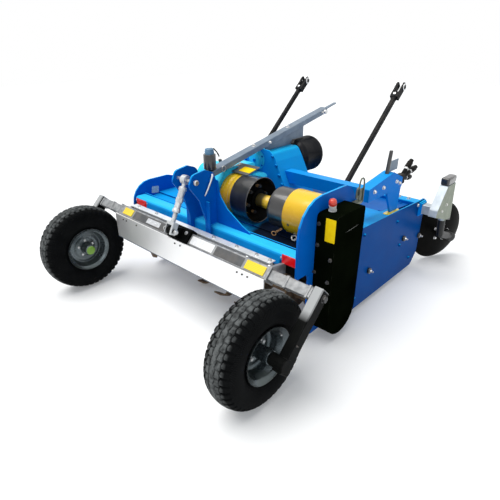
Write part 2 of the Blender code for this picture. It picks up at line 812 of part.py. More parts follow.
STAY_AXIS = Vector((0, STAY_FOOT_Y - STAY_TOP_Y, STAY_FOOT_Z - STAY_TOP_Z))
STAY_LENGTH = STAY_AXIS.length
STAY_DIR = STAY_AXIS.normalized()
STAY_TOP = Vector((0, STAY_TOP_Y, STAY_TOP_Z))
STAY_FOOT = Vector((0, STAY_FOOT_Y, STAY_FOOT_Z))
EYE_WIDTH = 0.030
EYE_RADIUS = 0.022
TUBE_START = 0.034
FORK_TRAVEL = 0.041
FORK_BODY = 0.040
TUBE_END = STAY_LENGTH - FORK_BODY - FORK_TRAVEL - 0.004


def along_stay(distance):
    return STAY_TOP + STAY_DIR * distance


stay_eye = rod("stay_eye", (-EYE_WIDTH / 2, STAY_TOP_Y, STAY_TOP_Z), (EYE_WIDTH / 2, STAY_TOP_Y, STAY_TOP_Z),
               EYE_RADIUS, ZINC)
fuse(stay_eye, rod("stay_eye_rod", along_stay(0.012), along_stay(TUBE_START + 0.024), STAY_ROD / 2, None))
cut(stay_eye, rod("stay_eye_hole", (-0.05, STAY_TOP_Y, STAY_TOP_Z), (0.05, STAY_TOP_Y, STAY_TOP_Z),
                  STAY_PIN / 2 + RUNNING, None))
settle(stay_eye)
rehang(stay_eye, STAY_TOP)

stay_tube = turned("stay_tube", [
    (0.019, TUBE_START + 0.016), (0.019, TUBE_START), (STAY_ROD / 2 + RUNNING, TUBE_START),
    (STAY_ROD / 2 + RUNNING, TUBE_END), (0.019, TUBE_END), (0.019, TUBE_END - 0.016),
    (STAY_TUBE / 2, TUBE_END - 0.020), (STAY_TUBE / 2, TUBE_START + 0.020)],
    STAY_TOP, STAY_DIR, ZINC, 16)

FORK_GAP = 0.034
fork = rod("stay_fork", along_stay(TUBE_START + 0.028 + FORK_TRAVEL), along_stay(STAY_LENGTH - 0.034),
           STAY_ROD / 2, ZINC)
turn_stay = Matrix.Translation(STAY_TOP) @ turn_to(STAY_DIR)


def stay_box(name, xs, ys, zs, edge=0.0):
    """A box in the stay's own frame, whose Z runs down the stay."""
    obj = box(name, xs, ys, zs, None, edge, 1)
    obj.matrix_world = turn_stay @ Matrix.Translation(obj.location)
    return obj


fuse(fork, stay_box("fork_body", (-FORK_GAP / 2 - 0.008, FORK_GAP / 2 + 0.008), (-0.018, 0.018),
                    (STAY_LENGTH - FORK_BODY, STAY_LENGTH + 0.018), 0.003))
cut(fork, stay_box("fork_slot", (-FORK_GAP / 2, FORK_GAP / 2), (-0.03, 0.03),
                   (STAY_LENGTH - 0.026, STAY_LENGTH + 0.03)))
cut(fork, rod("fork_hole", (-0.06, STAY_FOOT_Y, STAY_FOOT_Z), (0.06, STAY_FOOT_Y, STAY_FOOT_Z),
              STAY_PIN / 2 + 0.0015, None))
settle(fork)
rehang(fork, STAY_FOOT)


# Rear beam with its pivots, strip, board and clamp

def on_corner(name, half_x, size, centre_y, centre_z, material, edge=0.004):
    """A square bar along X standing on its corner."""
    obj = box(name, (half_x[0], half_x[1]), (-size / 2, size / 2), (-size / 2, size / 2), material, edge)
    middle = (half_x[0] + half_x[1]) / 2
    obj.matrix_world = Matrix.Translation((middle, centre_y, centre_z)) @ Matrix.Rotation(pi / 4, 4, "X")
    return obj


half_beam = BEAM_LENGTH / 2
BORE = BEAM_SIZE - 2 * BEAM_WALL
rear_beam = on_corner("rear_beam", (-half_beam, half_beam), BEAM_SIZE, BEAM_Y, BEAM_Z, ZINC)
ARM_X = half_beam - 0.034
for side, sign in SIDES:
    low, high = sorted((sign * ARM_X, sign * (ARM_X + 0.016)))
    fuse(rear_beam, plate("beam_arm_" + side, [
        (BEAM_Y - 0.030, BEAM_Z - 0.018, 0.012), (PIVOT_Y, PIVOT_Z - 0.022, 0.0),
        (PIVOT_Y + 0.0215, PIVOT_Z - 0.022, 0.018), (PIVOT_Y + 0.0215, PIVOT_Z + 0.022, 0.018),
        (PIVOT_Y, PIVOT_Z + 0.022, 0.0), (BEAM_Y + 0.010, BEAM_Z + 0.030, 0.012)],
        "X", low, high, None, 4))
cut(rear_beam, on_corner("beam_bore", (-half_beam - 0.01, half_beam + 0.01), BORE, BEAM_Y, BEAM_Z, None, 0))
cut(rear_beam, rod("pivot_hole", (-half_beam, PIVOT_Y, PIVOT_Z), (half_beam, PIVOT_Y, PIVOT_Z),
                   PIVOT_PIN / 2 + RUNNING, None))
settle(rear_beam)
rehang(rear_beam, (0, PIVOT_Y, PIVOT_Z))

for side, sign in SIDES:
    face = sign * (HALF_BED - GAP)
    outer_cheek = sorted((face, sign * (ARM_X + 0.017)))
    bracket = box("pivot_bracket_" + side, outer_cheek, (PIVOT_Y - 0.024, PIVOT_Y + 0.020),
                  (PIVOT_Z - 0.020, NOTCH_TOP - GAP), BLACK, 0.003, 1)
    pin_ends = sorted((sign * (ARM_X - 0.012), sign * (ARM_X + 0.030)))
    fuse(bracket, rod("pivot_pin_" + side, (pin_ends[0], PIVOT_Y, PIVOT_Z), (pin_ends[1], PIVOT_Y, PIVOT_Z),
                      PIVOT_PIN / 2, None))

SQUARE = BEAM_SIZE / 2 ** 0.5
STRIP_REAR = BEAM_Y + 0.030
beam_strip = plate("beam_strip", [
    (BEAM_Y + SQUARE + 0.003, BEAM_Z - 0.030, 0.0), (BEAM_Y + SQUARE + 0.007, BEAM_Z - 0.030, 0.0),
    (BEAM_Y + SQUARE + 0.007, BEAM_Z + 0.030, 0.003), (TUBE_REAR - 0.040, BEAM_Z + 0.030, 0.0),
    (TUBE_REAR - 0.040, BEAM_Z + 0.034, 0.0), (STRIP_REAR, BEAM_Z + 0.034, 0.0),
    (STRIP_REAR, BEAM_Z + 0.030, 0.0), (BEAM_Y + SQUARE + 0.003, BEAM_Z + 0.030, 0.002)],
    "X", -ARM_X + 0.006, ARM_X - 0.006, ZINC, 3)

BOARD_Y = BEAM_Y - SQUARE - 0.004
half_board = BOARD_WIDTH / 2
board = plate("levelling_board", [
    (BOARD_Y, BEAM_Z + 0.004, 0.0), (BOARD_Y - BOARD_SHEET, BEAM_Z + 0.004, 0.0),
    (BOARD_Y - BOARD_SHEET, BOARD_BOTTOM, 0.004), (BOARD_Y + BOARD_LIP, BOARD_BOTTOM - 0.026, 0.0),
    (BOARD_Y + BOARD_LIP, BOARD_BOTTOM - 0.020, 0.0), (BOARD_Y, BOARD_BOTTOM + 0.004, 0.003)],
    "X", -half_board, half_board, STAINLESS, 3)

CLAMP_X = (-0.075, 0.060)
clamp = plate("beam_clamp", [
    (BEAM_Y - SQUARE - 0.014, BEAM_Z + 0.012, 0.004), (BEAM_Y - SQUARE + 0.0005, BEAM_Z + 0.0015, 0.0),
    (BEAM_Y - 0.0005, BEAM_Z + SQUARE + 0.0010, 0.0), (BEAM_Y + 0.020, BEAM_Z + SQUARE - 0.018, 0.0),
    (BEAM_Y + 0.026, BEAM_Z + SQUARE - 0.006, 0.0), (BEAM_Y - 0.004, BEAM_Z + SQUARE + 0.022, 0.008)],
    "X", CLAMP_X[0], CLAMP_X[1], BLACK, 3)
EAR = 0.013
fuse(clamp, plate("clamp_ear", [
    (STAY_FOOT_Y - 0.017, STAY_FOOT_Z - 0.012, 0.008), (BEAM_Y - SQUARE - 0.004, BEAM_Z + 0.012, 0.0),
    (BEAM_Y - 0.006, BEAM_Z + SQUARE + 0.012, 0.0), (STAY_FOOT_Y + 0.017, STAY_FOOT_Z + 0.017, 0.010),
    (STAY_FOOT_Y - 0.017, STAY_FOOT_Z + 0.017, 0.014)], "X", -EAR, EAR, None, 4))
fuse(clamp, rod("clamp_pin", (-FORK_GAP / 2 - 0.020, STAY_FOOT_Y, STAY_FOOT_Z),
                (FORK_GAP / 2 + 0.020, STAY_FOOT_Y, STAY_FOOT_Z), STAY_PIN / 2, None))
settle(clamp)


# Telescoping carriers, wheel arms, wheels

half_track = WHEEL_TRACK / 2
ARM_INNER = CARRIER_END + GAP
ARM_OUTER = ARM_INNER + ARM_WIDTH


def carrier(side, sign):
    ends = sorted((sign * (half_beam - CARRIER_OVERLAP), sign * CARRIER_END))
    obj = on_corner("carrier_" + side, ends, CARRIER_SIZE, BEAM_Y, BEAM_Z, ZINC, 0.003)
    collar = sorted((sign * (half_beam + 0.078), sign * (half_beam + 0.092)))
    fuse(obj, on_corner("collar_" + side, collar, CARRIER_SIZE + 0.006, BEAM_Y, BEAM_Z, None, 0.002))
    return obj


def wheel_arm(side, sign):
    """The trailing arm, sloping down at 45 degrees, with its hub boss and stub axle."""
    down = Vector((0, -1, -1)).normalized()
    head = Vector((0, BEAM_Y, BEAM_Z))
    reach = (Vector((0, 0, AXLE_Z)) - head).dot(down)
    xs = sorted((sign * ARM_INNER, sign * ARM_OUTER))
    obj = box("wheel_arm_" + side, xs, (-ARM_DEPTH / 2, ARM_DEPTH / 2), (-reach - 0.034, 0.030), BLACK, 0.004)
    middle = (xs[0] + xs[1]) / 2
    place = Matrix.Translation((middle, head.y, head.z)) @ Matrix.Rotation(-pi / 4, 4, "X")
    obj.matrix_world = place @ Matrix.Translation((0, 0, (0.030 - reach - 0.034) / 2))
    boss = sign * (half_track + RIM_FACE + 0.012)
    fuse(obj, rod("boss_" + side, (sign * (ARM_OUTER + 0.004), 0, AXLE_Z), (boss, 0, AXLE_Z), 0.026, None))
    fuse(obj, rod("axle_" + side, (boss, 0, AXLE_Z), (sign * (half_track - 0.062), 0, AXLE_Z),
                  AXLE_DIAMETER / 2, None))
    settle(obj)
    return obj


def rim(side, sign):
    """A dished steel rim with a long hub, closed by a cap on its inner end."""
    radius = RIM_DIAMETER / 2
    seat = radius - 0.016
    hub = HUB_DIAMETER / 2
    bore = AXLE_DIAMETER / 2 + RUNNING
    profile = [
        (radius, RIM_FACE), (radius, RIM_FACE - 0.006), (seat, 0.044),
        (seat - 0.010, 0.018), (seat - 0.010, -0.018), (seat, -0.044),
        (radius, -RIM_FACE + 0.006), (radius, -RIM_FACE), (seat, -RIM_FACE + 0.006),
        (seat - 0.004, -0.036), (seat - 0.014, -0.016), (0.062, -0.012), (0.044, -0.022), (hub, -0.022),
        (hub, -0.080), (bore + 0.004, -0.084), (0.0, -0.084), (0.0, -0.070), (bore, -0.070),
        (bore, RIM_FACE + 0.008), (hub, RIM_FACE + 0.008), (hub, -0.012), (0.046, -0.012),
        (0.064, -0.002), (seat - 0.014, -0.006), (seat - 0.014, 0.016), (seat - 0.004, 0.036),
        (seat, RIM_FACE - 0.006)]
    start = profile.index((0.0, -0.084))
    return turned("wheel_rim_" + side, profile[start + 1:] + profile[:start + 1],
                  (sign * half_track, 0, AXLE_Z), (sign, 0, 0), SILVER, 20)


def tyre(side, sign):
    """A pneumatic tyre with three rings of tread blocks raised from its crown.

    The middle of a block is at the bottom, at the tyre's full radius, so the wheel stands without
    rolling. The block's edges lie a little farther out.
    """
    crown = TYRE_DIAMETER / 2 - TREAD_DEPTH
    half = TYRE_WIDTH / 2
    flange = RIM_DIAMETER / 2
    bead = flange - 0.010
    rings = (-0.042, -0.018, -0.013, 0.013, 0.018, 0.042)
    profile = [(bead, -0.046), (flange + 0.002, -0.051), (crown - 0.066, -half), (crown - 0.024, -half + 0.006)]
    profile += [(crown - 0.6 * abs(v / half) ** 3 * 0.03, v) for v in rings]
    profile += [(r, -v) for r, v in profile[3::-1]]
    profile += [(bead + 0.010, 0.036), (crown - 0.026, half - 0.018), (crown - 0.026, 0.018 - half),
                (bead + 0.010, -0.036)]
    body = bmesh.new()
    steps = 2 * TREAD_BLOCKS
    to_edge = 1 / cos(pi / steps)
    grid = []
    for step in range(steps):
        angle = 2 * pi * (step + 0.5) / steps
        outward = (to_edge * cos(angle), to_edge * sin(angle))
        grid.append([body.verts.new((v, r * outward[0], r * outward[1])) for r, v in profile])
    blocks = []
    for step in range(steps):
        here = grid[step]
        ahead = grid[(step + 1) % steps]
        for i in range(len(profile)):
            j = (i + 1) % len(profile)
            face = body.faces.new((here[i], here[j], ahead[j], ahead[i]))
            ring = i - 4
            if ring in (0, 2, 4) and (step + ring // 2) % 2:
                blocks.append(face)
    bmesh.ops.recalc_face_normals(body, faces=body.faces)
    raised = bmesh.ops.extrude_discrete_faces(body, faces=blocks)["faces"]
    for face in raised:
        for vertex in face.verts:
            radius = hypot(vertex.co.y, vertex.co.z)
            vertex.co.yz = vertex.co.yz * ((radius + TREAD_DEPTH * to_edge) / radius)
    mesh = bpy.data.meshes.new("tyre")
    body.to_mesh(mesh)
    body.free()
    obj = bpy.data.objects.new("tyre", mesh)
    PARTS.objects.link(obj)
    adopt(obj, "tyre_" + side, RUBBER)
    obj.location = (sign * half_track, 0, AXLE_Z)
    return obj


for side, sign in SIDES:
    carrier(side, sign)
    wheel_arm(side, sign)
    rim(side, sign)
    tyre(side, sign)


# Front deck, side panels and front tube

def front_deck():
    """The flat deck in front of the hood, with a stiffening fold and the lower hitch brackets."""
    wide = HALF_BED - GAP
    deck = plate("front_deck", [
        (ROTOR_Y, DECK_Z, 0.0), (DECK_FRONT, DECK_Z, 0.006), (DECK_FRONT, DECK_Z - DECK_FOLD, 0.0),
        (DECK_FRONT - DECK_SHEET, DECK_Z - DECK_FOLD, 0.0), (DECK_FRONT - DECK_SHEET, DECK_Z - DECK_SHEET, 0.002),
        (ROTOR_Y, DECK_Z - DECK_SHEET, 0.0)], "X", -wide, wide, BLUE, 3)
    for side in (-1, 1):
        for cheek in (-1, 1):
            middle = side * HITCH_X + cheek * (HITCH_BAR / 2 + 0.006)
            fuse(deck, plate("hitch_cheek", [
                (HITCH_BASE_Y - 0.045, DECK_Z - 0.002, 0.0), (HITCH_BASE_Y + 0.045, DECK_Z - 0.002, 0.0),
                (HITCH_BASE_Y + 0.030, HITCH_BASE_Z + 0.024, 0.020),
                (HITCH_BASE_Y - 0.030, HITCH_BASE_Z + 0.024, 0.020)],
                "X", middle - 0.004, middle + 0.004, None, 2))
        fuse(deck, rod("hitch_pin", (side * HITCH_X - 0.030, HITCH_BASE_Y, HITCH_BASE_Z),
                       (side * HITCH_X + 0.030, HITCH_BASE_Y, HITCH_BASE_Z), HITCH_PIN / 2, None))
    return settle(deck)


front_deck()


def panel_top(y):
    """The height of a front panel's upper edge."""
    return PANEL_TOP_REAR + (PANEL_TOP_FRONT - PANEL_TOP_REAR) * (y - PANEL_REAR) / (PANEL_KNEE - PANEL_REAR)


def front_panel(side, sign):
    """A front side panel with its skid edge, its sloping nose and a top flange turned inwards."""
    low, high = sorted((sign * PANEL_OUTER, sign * (PANEL_OUTER - PANEL_SHEET)))
    panel = plate("front_panel_" + side, [
        (PANEL_REAR, SKID_HEIGHT, 0.010), (PANEL_FRONT - 0.060, SKID_HEIGHT, 0.030),
        (PANEL_FRONT, SKID_HEIGHT + 0.070, 0.030), (PANEL_FRONT, FRONT_Z - 0.020, 0.020),
        (FRONT_Y + 0.045, FRONT_Z + 0.048, 0.020), (FRONT_Y - 0.050, FRONT_Z + 0.050, 0.030),
        (PANEL_KNEE, PANEL_TOP_FRONT, 0.080), (PANEL_REAR, PANEL_TOP_REAR, 0.008)],
        "X", low, high, BLUE, 4)
    inner = sorted((sign * (PANEL_OUTER - 0.001), sign * (PANEL_OUTER - PANEL_FLANGE)))
    fuse(panel, plate("flange_" + side, [
        (FLANGE_REAR, panel_top(FLANGE_REAR) - 0.0005, 0.0),
        (FLANGE_REAR, panel_top(FLANGE_REAR) - 0.008, 0.0),
        (PANEL_KNEE - 0.020, panel_top(PANEL_KNEE - 0.020) - 0.008, 0.0),
        (PANEL_KNEE - 0.020, panel_top(PANEL_KNEE - 0.020) - 0.0005, 0.0)],
        "X", inner[0], inner[1], None))
    half = FRONT_TUBE / 2 + GAP
    cut(panel, box("tube_window", (low - 0.01, high + 0.01), (FRONT_Y - half, FRONT_Y + half),
                   (FRONT_Z - half, FRONT_Z + half), None))
    return settle(panel)


for side, sign in SIDES:
    front_panel(side, sign)

half = FRONT_TUBE / 2
bore = FRONT_TUBE / 2 - FRONT_WALL
front_tube = box("front_tube", (-PANEL_OUTER - 0.006, PANEL_OUTER + 0.006), (FRONT_Y - half, FRONT_Y + half),
                 (FRONT_Z - half, FRONT_Z + half), BLUE, 0.006, 2)
cut(front_tube, box("front_bore", (-PANEL_OUTER - 0.02, PANEL_OUTER + 0.02), (FRONT_Y - bore, FRONT_Y + bore),
                    (FRONT_Z - bore, FRONT_Z + bore), None))
settle(front_tube)


# Front carriers with their posts, arms and discs

toe = radians(DISC_TOE)


def disc_axis(sign):
    return Vector((sign * cos(toe), -sin(toe), 0))


def post_rear(side):
    """Where the sloping rear edge of a post reaches the post's top."""
    return FRONT_Y - 0.130 + 0.76 * (POST_TOPS[side] - FRONT_Z - 0.046)


def front_carrier(side, sign):
    """Sliding bar, tapered post, disc arm and stub axle, welded into one piece."""
    half = FRONT_BAR / 2
    ends = sorted((sign * (PANEL_OUTER - FRONT_OVERLAP), sign * (FRONT_BAR_END + 0.004)))
    carrier_bar = box("front_carrier_" + side, ends, (FRONT_Y - half, FRONT_Y + half),
                      (FRONT_Z - half, FRONT_Z + half), ZINC, 0.003, 1)
    xs = sorted((sign * FRONT_BAR_END, sign * (FRONT_BAR_END + POST_WIDTH)))
    fuse(carrier_bar, plate("post_" + side, [
        (FRONT_Y - 0.136, FRONT_Z + 0.010, 0.006), (FRONT_Y + 0.110, FRONT_Z - 0.072, 0.006),
        (FRONT_Y + 0.074, POST_TOPS[side], 0.004), (post_rear(side), POST_TOPS[side], 0.004),
        (FRONT_Y - 0.130, FRONT_Z + 0.046, 0.020)], "X", xs[0], xs[1], None, 3))
    centre = Vector((sign * DISC_X, DISC_Y, DISC_DIAMETER / 2))
    out = centre + disc_axis(sign) * DISC_ARM
    top = Vector((sum(xs) / 2, FRONT_Y + 0.035, FRONT_Z - 0.045))
    knee = Vector((top.x, top.y + 0.020, out.z + 0.060))
    for number, (start, end) in enumerate(((top, knee), (knee, out))):
        run = end - start
        link = rod("disc_arm_%s_%d" % (side, number), start - run.normalized() * 0.010,
                   end + run.normalized() * 0.010, 0.021, None, 12)
        fuse(carrier_bar, link)
    fuse(carrier_bar, rod("disc_boss_" + side, centre + disc_axis(sign) * 0.049,
                          out + disc_axis(sign) * 0.024, 0.027, None, 16))
    fuse(carrier_bar, rod("disc_axle_" + side, centre + disc_axis(sign) * 0.010,
                          out, DISC_AXLE / 2, None, 16))
    return settle(carrier_bar)


def disc(side, sign):
    """A dished steel disc with its hub on the convex side."""
    edge = DISC_DIAMETER / 2
    hub = 0.036
    bore = DISC_AXLE / 2 + RUNNING
    outer = [(hub, 0.044), (hub, 0.004)]
    rim_line = []
    for step in range(1, 4):
        share = step / 3
        rim_line.append((hub + (edge - hub) * share, 0.004 - DISC_DISH * share ** 2))
    profile = outer + rim_line + [(r, h - DISC_SHEET) for r, h in rim_line[::-1]]
    profile += [(0.0, -0.004), (0.0, 0.006), (bore, 0.006), (bore, 0.044)]
    start = profile.index((0.0, -0.004))
    return turned("disc_" + side, profile[start + 1:] + profile[:start + 1],
                  (sign * DISC_X, DISC_Y, DISC_DIAMETER / 2), disc_axis(sign), BLACK, 20)


for side, sign in SIDES:
    front_carrier(side, sign)
    disc(side, sign)
    xs = sorted((sign * (FRONT_BAR_END - 0.002), sign * (FRONT_BAR_END + POST_WIDTH + 0.002)))
    top = POST_TOPS[side]
    box("post_cap_" + side, xs, (post_rear(side) - 0.002, FRONT_Y + 0.076), (top + GAP, top + POST_CAP),
        BLACK_PLASTIC, 0.010, 2)


# Main gearbox, PTO shaft and guard

gearbox_foot = GEARBOX_BASE / 2
gearbox_side = [
    (GEARBOX_FOOT, -gearbox_foot, 0.006), (GEARBOX_FOOT, gearbox_foot, 0.006),
    (GEARBOX_FOOT + 0.045, gearbox_foot, 0.016), (0.600, 0.138, 0.060), (0.700, GEARBOX_CROWN / 2, 0.060),
    (GEARBOX_TOP, 0.055, 0.030), (GEARBOX_TOP, -0.055, 0.030), (0.700, -GEARBOX_CROWN / 2, 0.060),
    (0.600, -0.138, 0.060), (GEARBOX_FOOT + 0.045, -gearbox_foot, 0.016)]
main_gearbox = plate("main_gearbox", gearbox_side, "Y", GEARBOX_REAR + 0.016, GEARBOX_FRONT, BLUE, 4)
fuse(main_gearbox, plate("gearbox_flange", [
    (GEARBOX_FOOT + 0.040, -0.190, 0.010), (GEARBOX_FOOT + 0.040, 0.190, 0.010), (0.590, 0.156, 0.030),
    (0.712, 0.060, 0.030), (0.752, 0.020, 0.030), (0.752, -0.060, 0.030), (0.700, -0.110, 0.030),
    (0.590, -0.156, 0.030)], "Y", GEARBOX_REAR, GEARBOX_REAR + 0.018, None, 4))
fuse(main_gearbox, rod("collar", (0, GEARBOX_FRONT - 0.02, INPUT_Z), (0, GEARBOX_FRONT + 0.036, INPUT_Z),
                       0.060, None, 24))
cut(main_gearbox, rod("input_bore", (0, GEARBOX_REAR + 0.12, INPUT_Z), (0, GEARBOX_FRONT + 0.06, INPUT_Z),
                      SPLINE_DIAMETER / 2 + RUNNING, None, 24))
settle(main_gearbox)

turned("gearbox_cap", [(0.0, 0.024), (0.036, 0.024), (0.042, 0.018), (0.044, 0.010), (0.056, 0.008),
                       (0.056, 0.0), (0.0, 0.0)],
       (CAP_X, GEARBOX_REAR - GAP, CAP_Z), (0, -1, 0), BLUE, 20)

spline = SPLINE_DIAMETER / 2
input_shaft = turned("input_shaft", [
    (0.0, BELL_END - 0.015), (spline - 0.003, BELL_END - 0.015), (spline, BELL_END - 0.019),
    (spline, BELL_END - 0.052), (spline - 0.003, BELL_END - 0.055), (spline - 0.003, BELL_END - 0.063),
    (spline, BELL_END - 0.066), (spline, GEARBOX_REAR + 0.124), (0.0, GEARBOX_REAR + 0.124)],
    (0, 0, INPUT_Z), (0, 1, 0), STEEL, 16)

bell = BELL_DIAMETER / 2
turned("pto_guard", [
    (bell, BELL_END), (bell, BELL_START + 0.030), (bell - 0.022, BELL_START), (0.0605, BELL_START),
    (0.0605, BELL_START + 0.004), (bell - 0.024, BELL_START + 0.004), (bell - 0.004, BELL_START + 0.032),
    (bell - 0.004, BELL_END)], (0, 0, INPUT_Z), (0, 1, 0), BLACK_PLASTIC, 24)


# Transfer case and cross shaft

transfer_case = plate("transfer_case", [
    (CROSS_Y - 0.095, GEARBOX_FOOT, 0.030), (CROSS_Y + 0.100, GEARBOX_FOOT, 0.030),
    (CROSS_Y + 0.110, CROSS_Z + 0.090, 0.050), (CROSS_Y + 0.030, CROSS_Z + 0.132, 0.040),
    (CROSS_Y - 0.050, CROSS_Z + 0.126, 0.050), (CROSS_Y - 0.108, CROSS_Z + 0.060, 0.050)],
    "X", TRANSFER_LEFT, TRANSFER_RIGHT, BLUE, 4)
bevel(transfer_case, 0.012, 1, 50)
fuse(transfer_case, box("link_elbow", (TRANSFER_LEFT + 0.020, TRANSFER_RIGHT - 0.006),
                        (CROSS_Y + 0.060, CROSS_Y + 0.190), (0.540, 0.690), None, 0.014, 1))
fuse(transfer_case, box("link_housing", (TRANSFER_LEFT + 0.060, 0.058),
                        (CROSS_Y + 0.124, GEARBOX_REAR - GAP), (0.550, 0.640), None, 0.014, 1))
cut(transfer_case, rod("transfer_bore", (TRANSFER_LEFT + 0.030, CROSS_Y, CROSS_Z),
                       (TRANSFER_RIGHT + 0.020, CROSS_Y, CROSS_Z), CROSS_SHAFT / 2 + RUNNING, None, 24))
settle(transfer_case)

cross_radius = CROSS_SHAFT / 2
cross_shaft = turned("cross_shaft", [
    (0.0, CASE_MIDDLE + 0.024), (cross_radius, CASE_MIDDLE + 0.024), (cross_radius, TRANSFER_LEFT + 0.034),
    (0.0, TRANSFER_LEFT + 0.034)], (0, CROSS_Y, CROSS_Z), (1, 0, 0), STEEL, 20)

hub_bore = cross_radius + RUNNING
limiter = [(0.030, 0.062), (0.030, 0.040)]
for disc_number in range(3):
    upper = 0.040 - 0.019 * disc_number
    limiter += [(0.044, upper), (0.078, upper), (0.078, upper - 0.008), (0.044, upper - 0.008)]
limiter += [(0.030, -0.020), (0.030, -0.034), (hub_bore, -0.034), (hub_bore, 0.062)]
turned("torque_limiter", limiter, (0.105, CROSS_Y, CROSS_Z), (1, 0, 0), BLACK, 20)

guard = GUARD_DIAMETER / 2
mouth = CONE_MOUTH / 2
through = cross_radius + 0.004
turned("left_guard", [
    (guard, CONE_START + 0.006), (guard, TRANSFER_RIGHT + GAP), (through, TRANSFER_RIGHT + GAP),
    (through, TRANSFER_RIGHT + 0.004), (guard - GUARD_WALL, TRANSFER_RIGHT + 0.004),
    (guard - GUARD_WALL, CONE_START + 0.006)], (0, CROSS_Y, CROSS_Z), (1, 0, 0), YELLOW, 24)
turned("left_guard_cone", [
    (mouth + GUARD_WALL, CONE_END - 0.002), (guard + 0.005, CONE_START + 0.012),
    (guard + GUARD_WALL + 0.001, CONE_START), (guard + 0.0008, CONE_START),
    (guard + 0.0008, CONE_START + 0.008), (guard + 0.002, CONE_START + 0.014), (mouth, CONE_END)],
    (0, CROSS_Y, CROSS_Z), (1, 0, 0), BLACK_PLASTIC, 24)
turned("shaft_guard_tube", ring_profile(0.040, 0.037, NECK_START, NECK_END),
       (0, CROSS_Y, CROSS_Z), (1, 0, 0), YELLOW, 24)
turned("right_guard_bell", [
    (0.0975, SHELL_END), (0.0975, SHELL_START + 0.012), (0.090, SHELL_START), (0.0408, SHELL_START),
    (0.0408, SHELL_START + 0.003), (0.088, SHELL_START + 0.003), (0.0945, SHELL_START + 0.013),
    (0.0945, SHELL_END)], (0, CROSS_Y, CROSS_Z), (1, 0, 0), BLACK_PLASTIC, 24)
turned("right_guard", [
    (guard + 0.0025, HALF_BED - GAP), (guard + 0.0025, RIGHT_GUARD_START), (0.0981, RIGHT_GUARD_START),
    (0.0981, RIGHT_GUARD_START + 0.003), (guard - 0.0005, RIGHT_GUARD_START + 0.003),
    (guard - 0.0005, HALF_BED - GAP)],
    (0, CROSS_Y, CROSS_Z), (1, 0, 0), YELLOW, 24)


# Support rail on the right of the deck

rail_foot = PANEL_KNEE - 0.005
rail = plate("support_rail", [
    (GEARBOX_REAR + 0.060, RAIL_BOTTOM, 0.0), (RAIL_FRONT, RAIL_BOTTOM, 0.0), (RAIL_FRONT, 0.640, 0.006),
    (1.060, RAIL_TOP + 0.036, 0.010), (GEARBOX_REAR + 0.060, RAIL_TOP, 0.004)],
    "X", RAIL_X - 0.055, RAIL_X, BLUE, 3)
fuse(rail, plate("cross_rail", [
    (RAIL_BOTTOM, 0.147, 0.0), (RAIL_TOP - 0.001, 0.118, 0.0), (RAIL_TOP - 0.001, RAIL_X - 0.010, 0.0),
    (RAIL_BOTTOM, RAIL_X - 0.010, 0.0)], "Y", GEARBOX_REAR + 0.0605, GEARBOX_REAR + 0.120, None))
fuse(rail, plate("rail_strut", [
    (rail_foot - 0.145, RAIL_BOTTOM + 0.004, 0.0), (rail_foot - 0.075, panel_top(rail_foot - 0.075) + GAP, 0.0),
    (rail_foot, panel_top(rail_foot) + GAP, 0.0), (rail_foot + 0.010, RAIL_BOTTOM + 0.004, 0.0)],
    "X", RAIL_X - 0.012, RAIL_X - 0.0005, None, 3))
fuse(rail, rod("rail_stalk", (RAIL_X - 0.025, 1.030, RAIL_TOP + 0.020), (RAIL_X - 0.025, 1.045, 0.792),
               0.009, None, 12))
cut(rail, box("rail_trough", (RAIL_X - 0.051, RAIL_X - 0.004), (GEARBOX_REAR + 0.130, RAIL_FRONT - 0.010),
              (RAIL_BOTTOM - 0.01, RAIL_BOTTOM + 0.046), None))
cut(rail, box("cross_trough", (0.156, RAIL_X - 0.056), (GEARBOX_REAR + 0.065, GEARBOX_REAR + 0.115),
              (RAIL_BOTTOM - 0.01, RAIL_TOP - 0.006), None))
settle(rail)

hoses = box("hose_couplings", (RAIL_X - 0.045, RAIL_X - 0.008), (RAIL_FRONT + GAP, RAIL_FRONT + 0.050),
            (RAIL_BOTTOM + 0.004, RAIL_BOTTOM + 0.056), BLACK, 0.004, 1)
for number, (reach, rise, spread) in enumerate(((0.150, 0.075, -0.004), (0.200, 0.030, 0.004),
                                                (0.170, -0.020, -0.006))):
    root = (RAIL_X - 0.026, RAIL_FRONT + 0.030, RAIL_BOTTOM + 0.030)
    tip = (RAIL_X - 0.026 + spread, RAIL_FRONT + reach, RAIL_BOTTOM + 0.030 + rise)
    fuse(hoses, rod("coupling_%d" % number, root, tip, 0.012, None, 12))
settle(hoses)


# Lower hitch arms

HITCH_RUN = Vector((0, HITCH_HEAD_Y - HITCH_BASE_Y, HITCH_HEAD_Z - HITCH_BASE_Z))


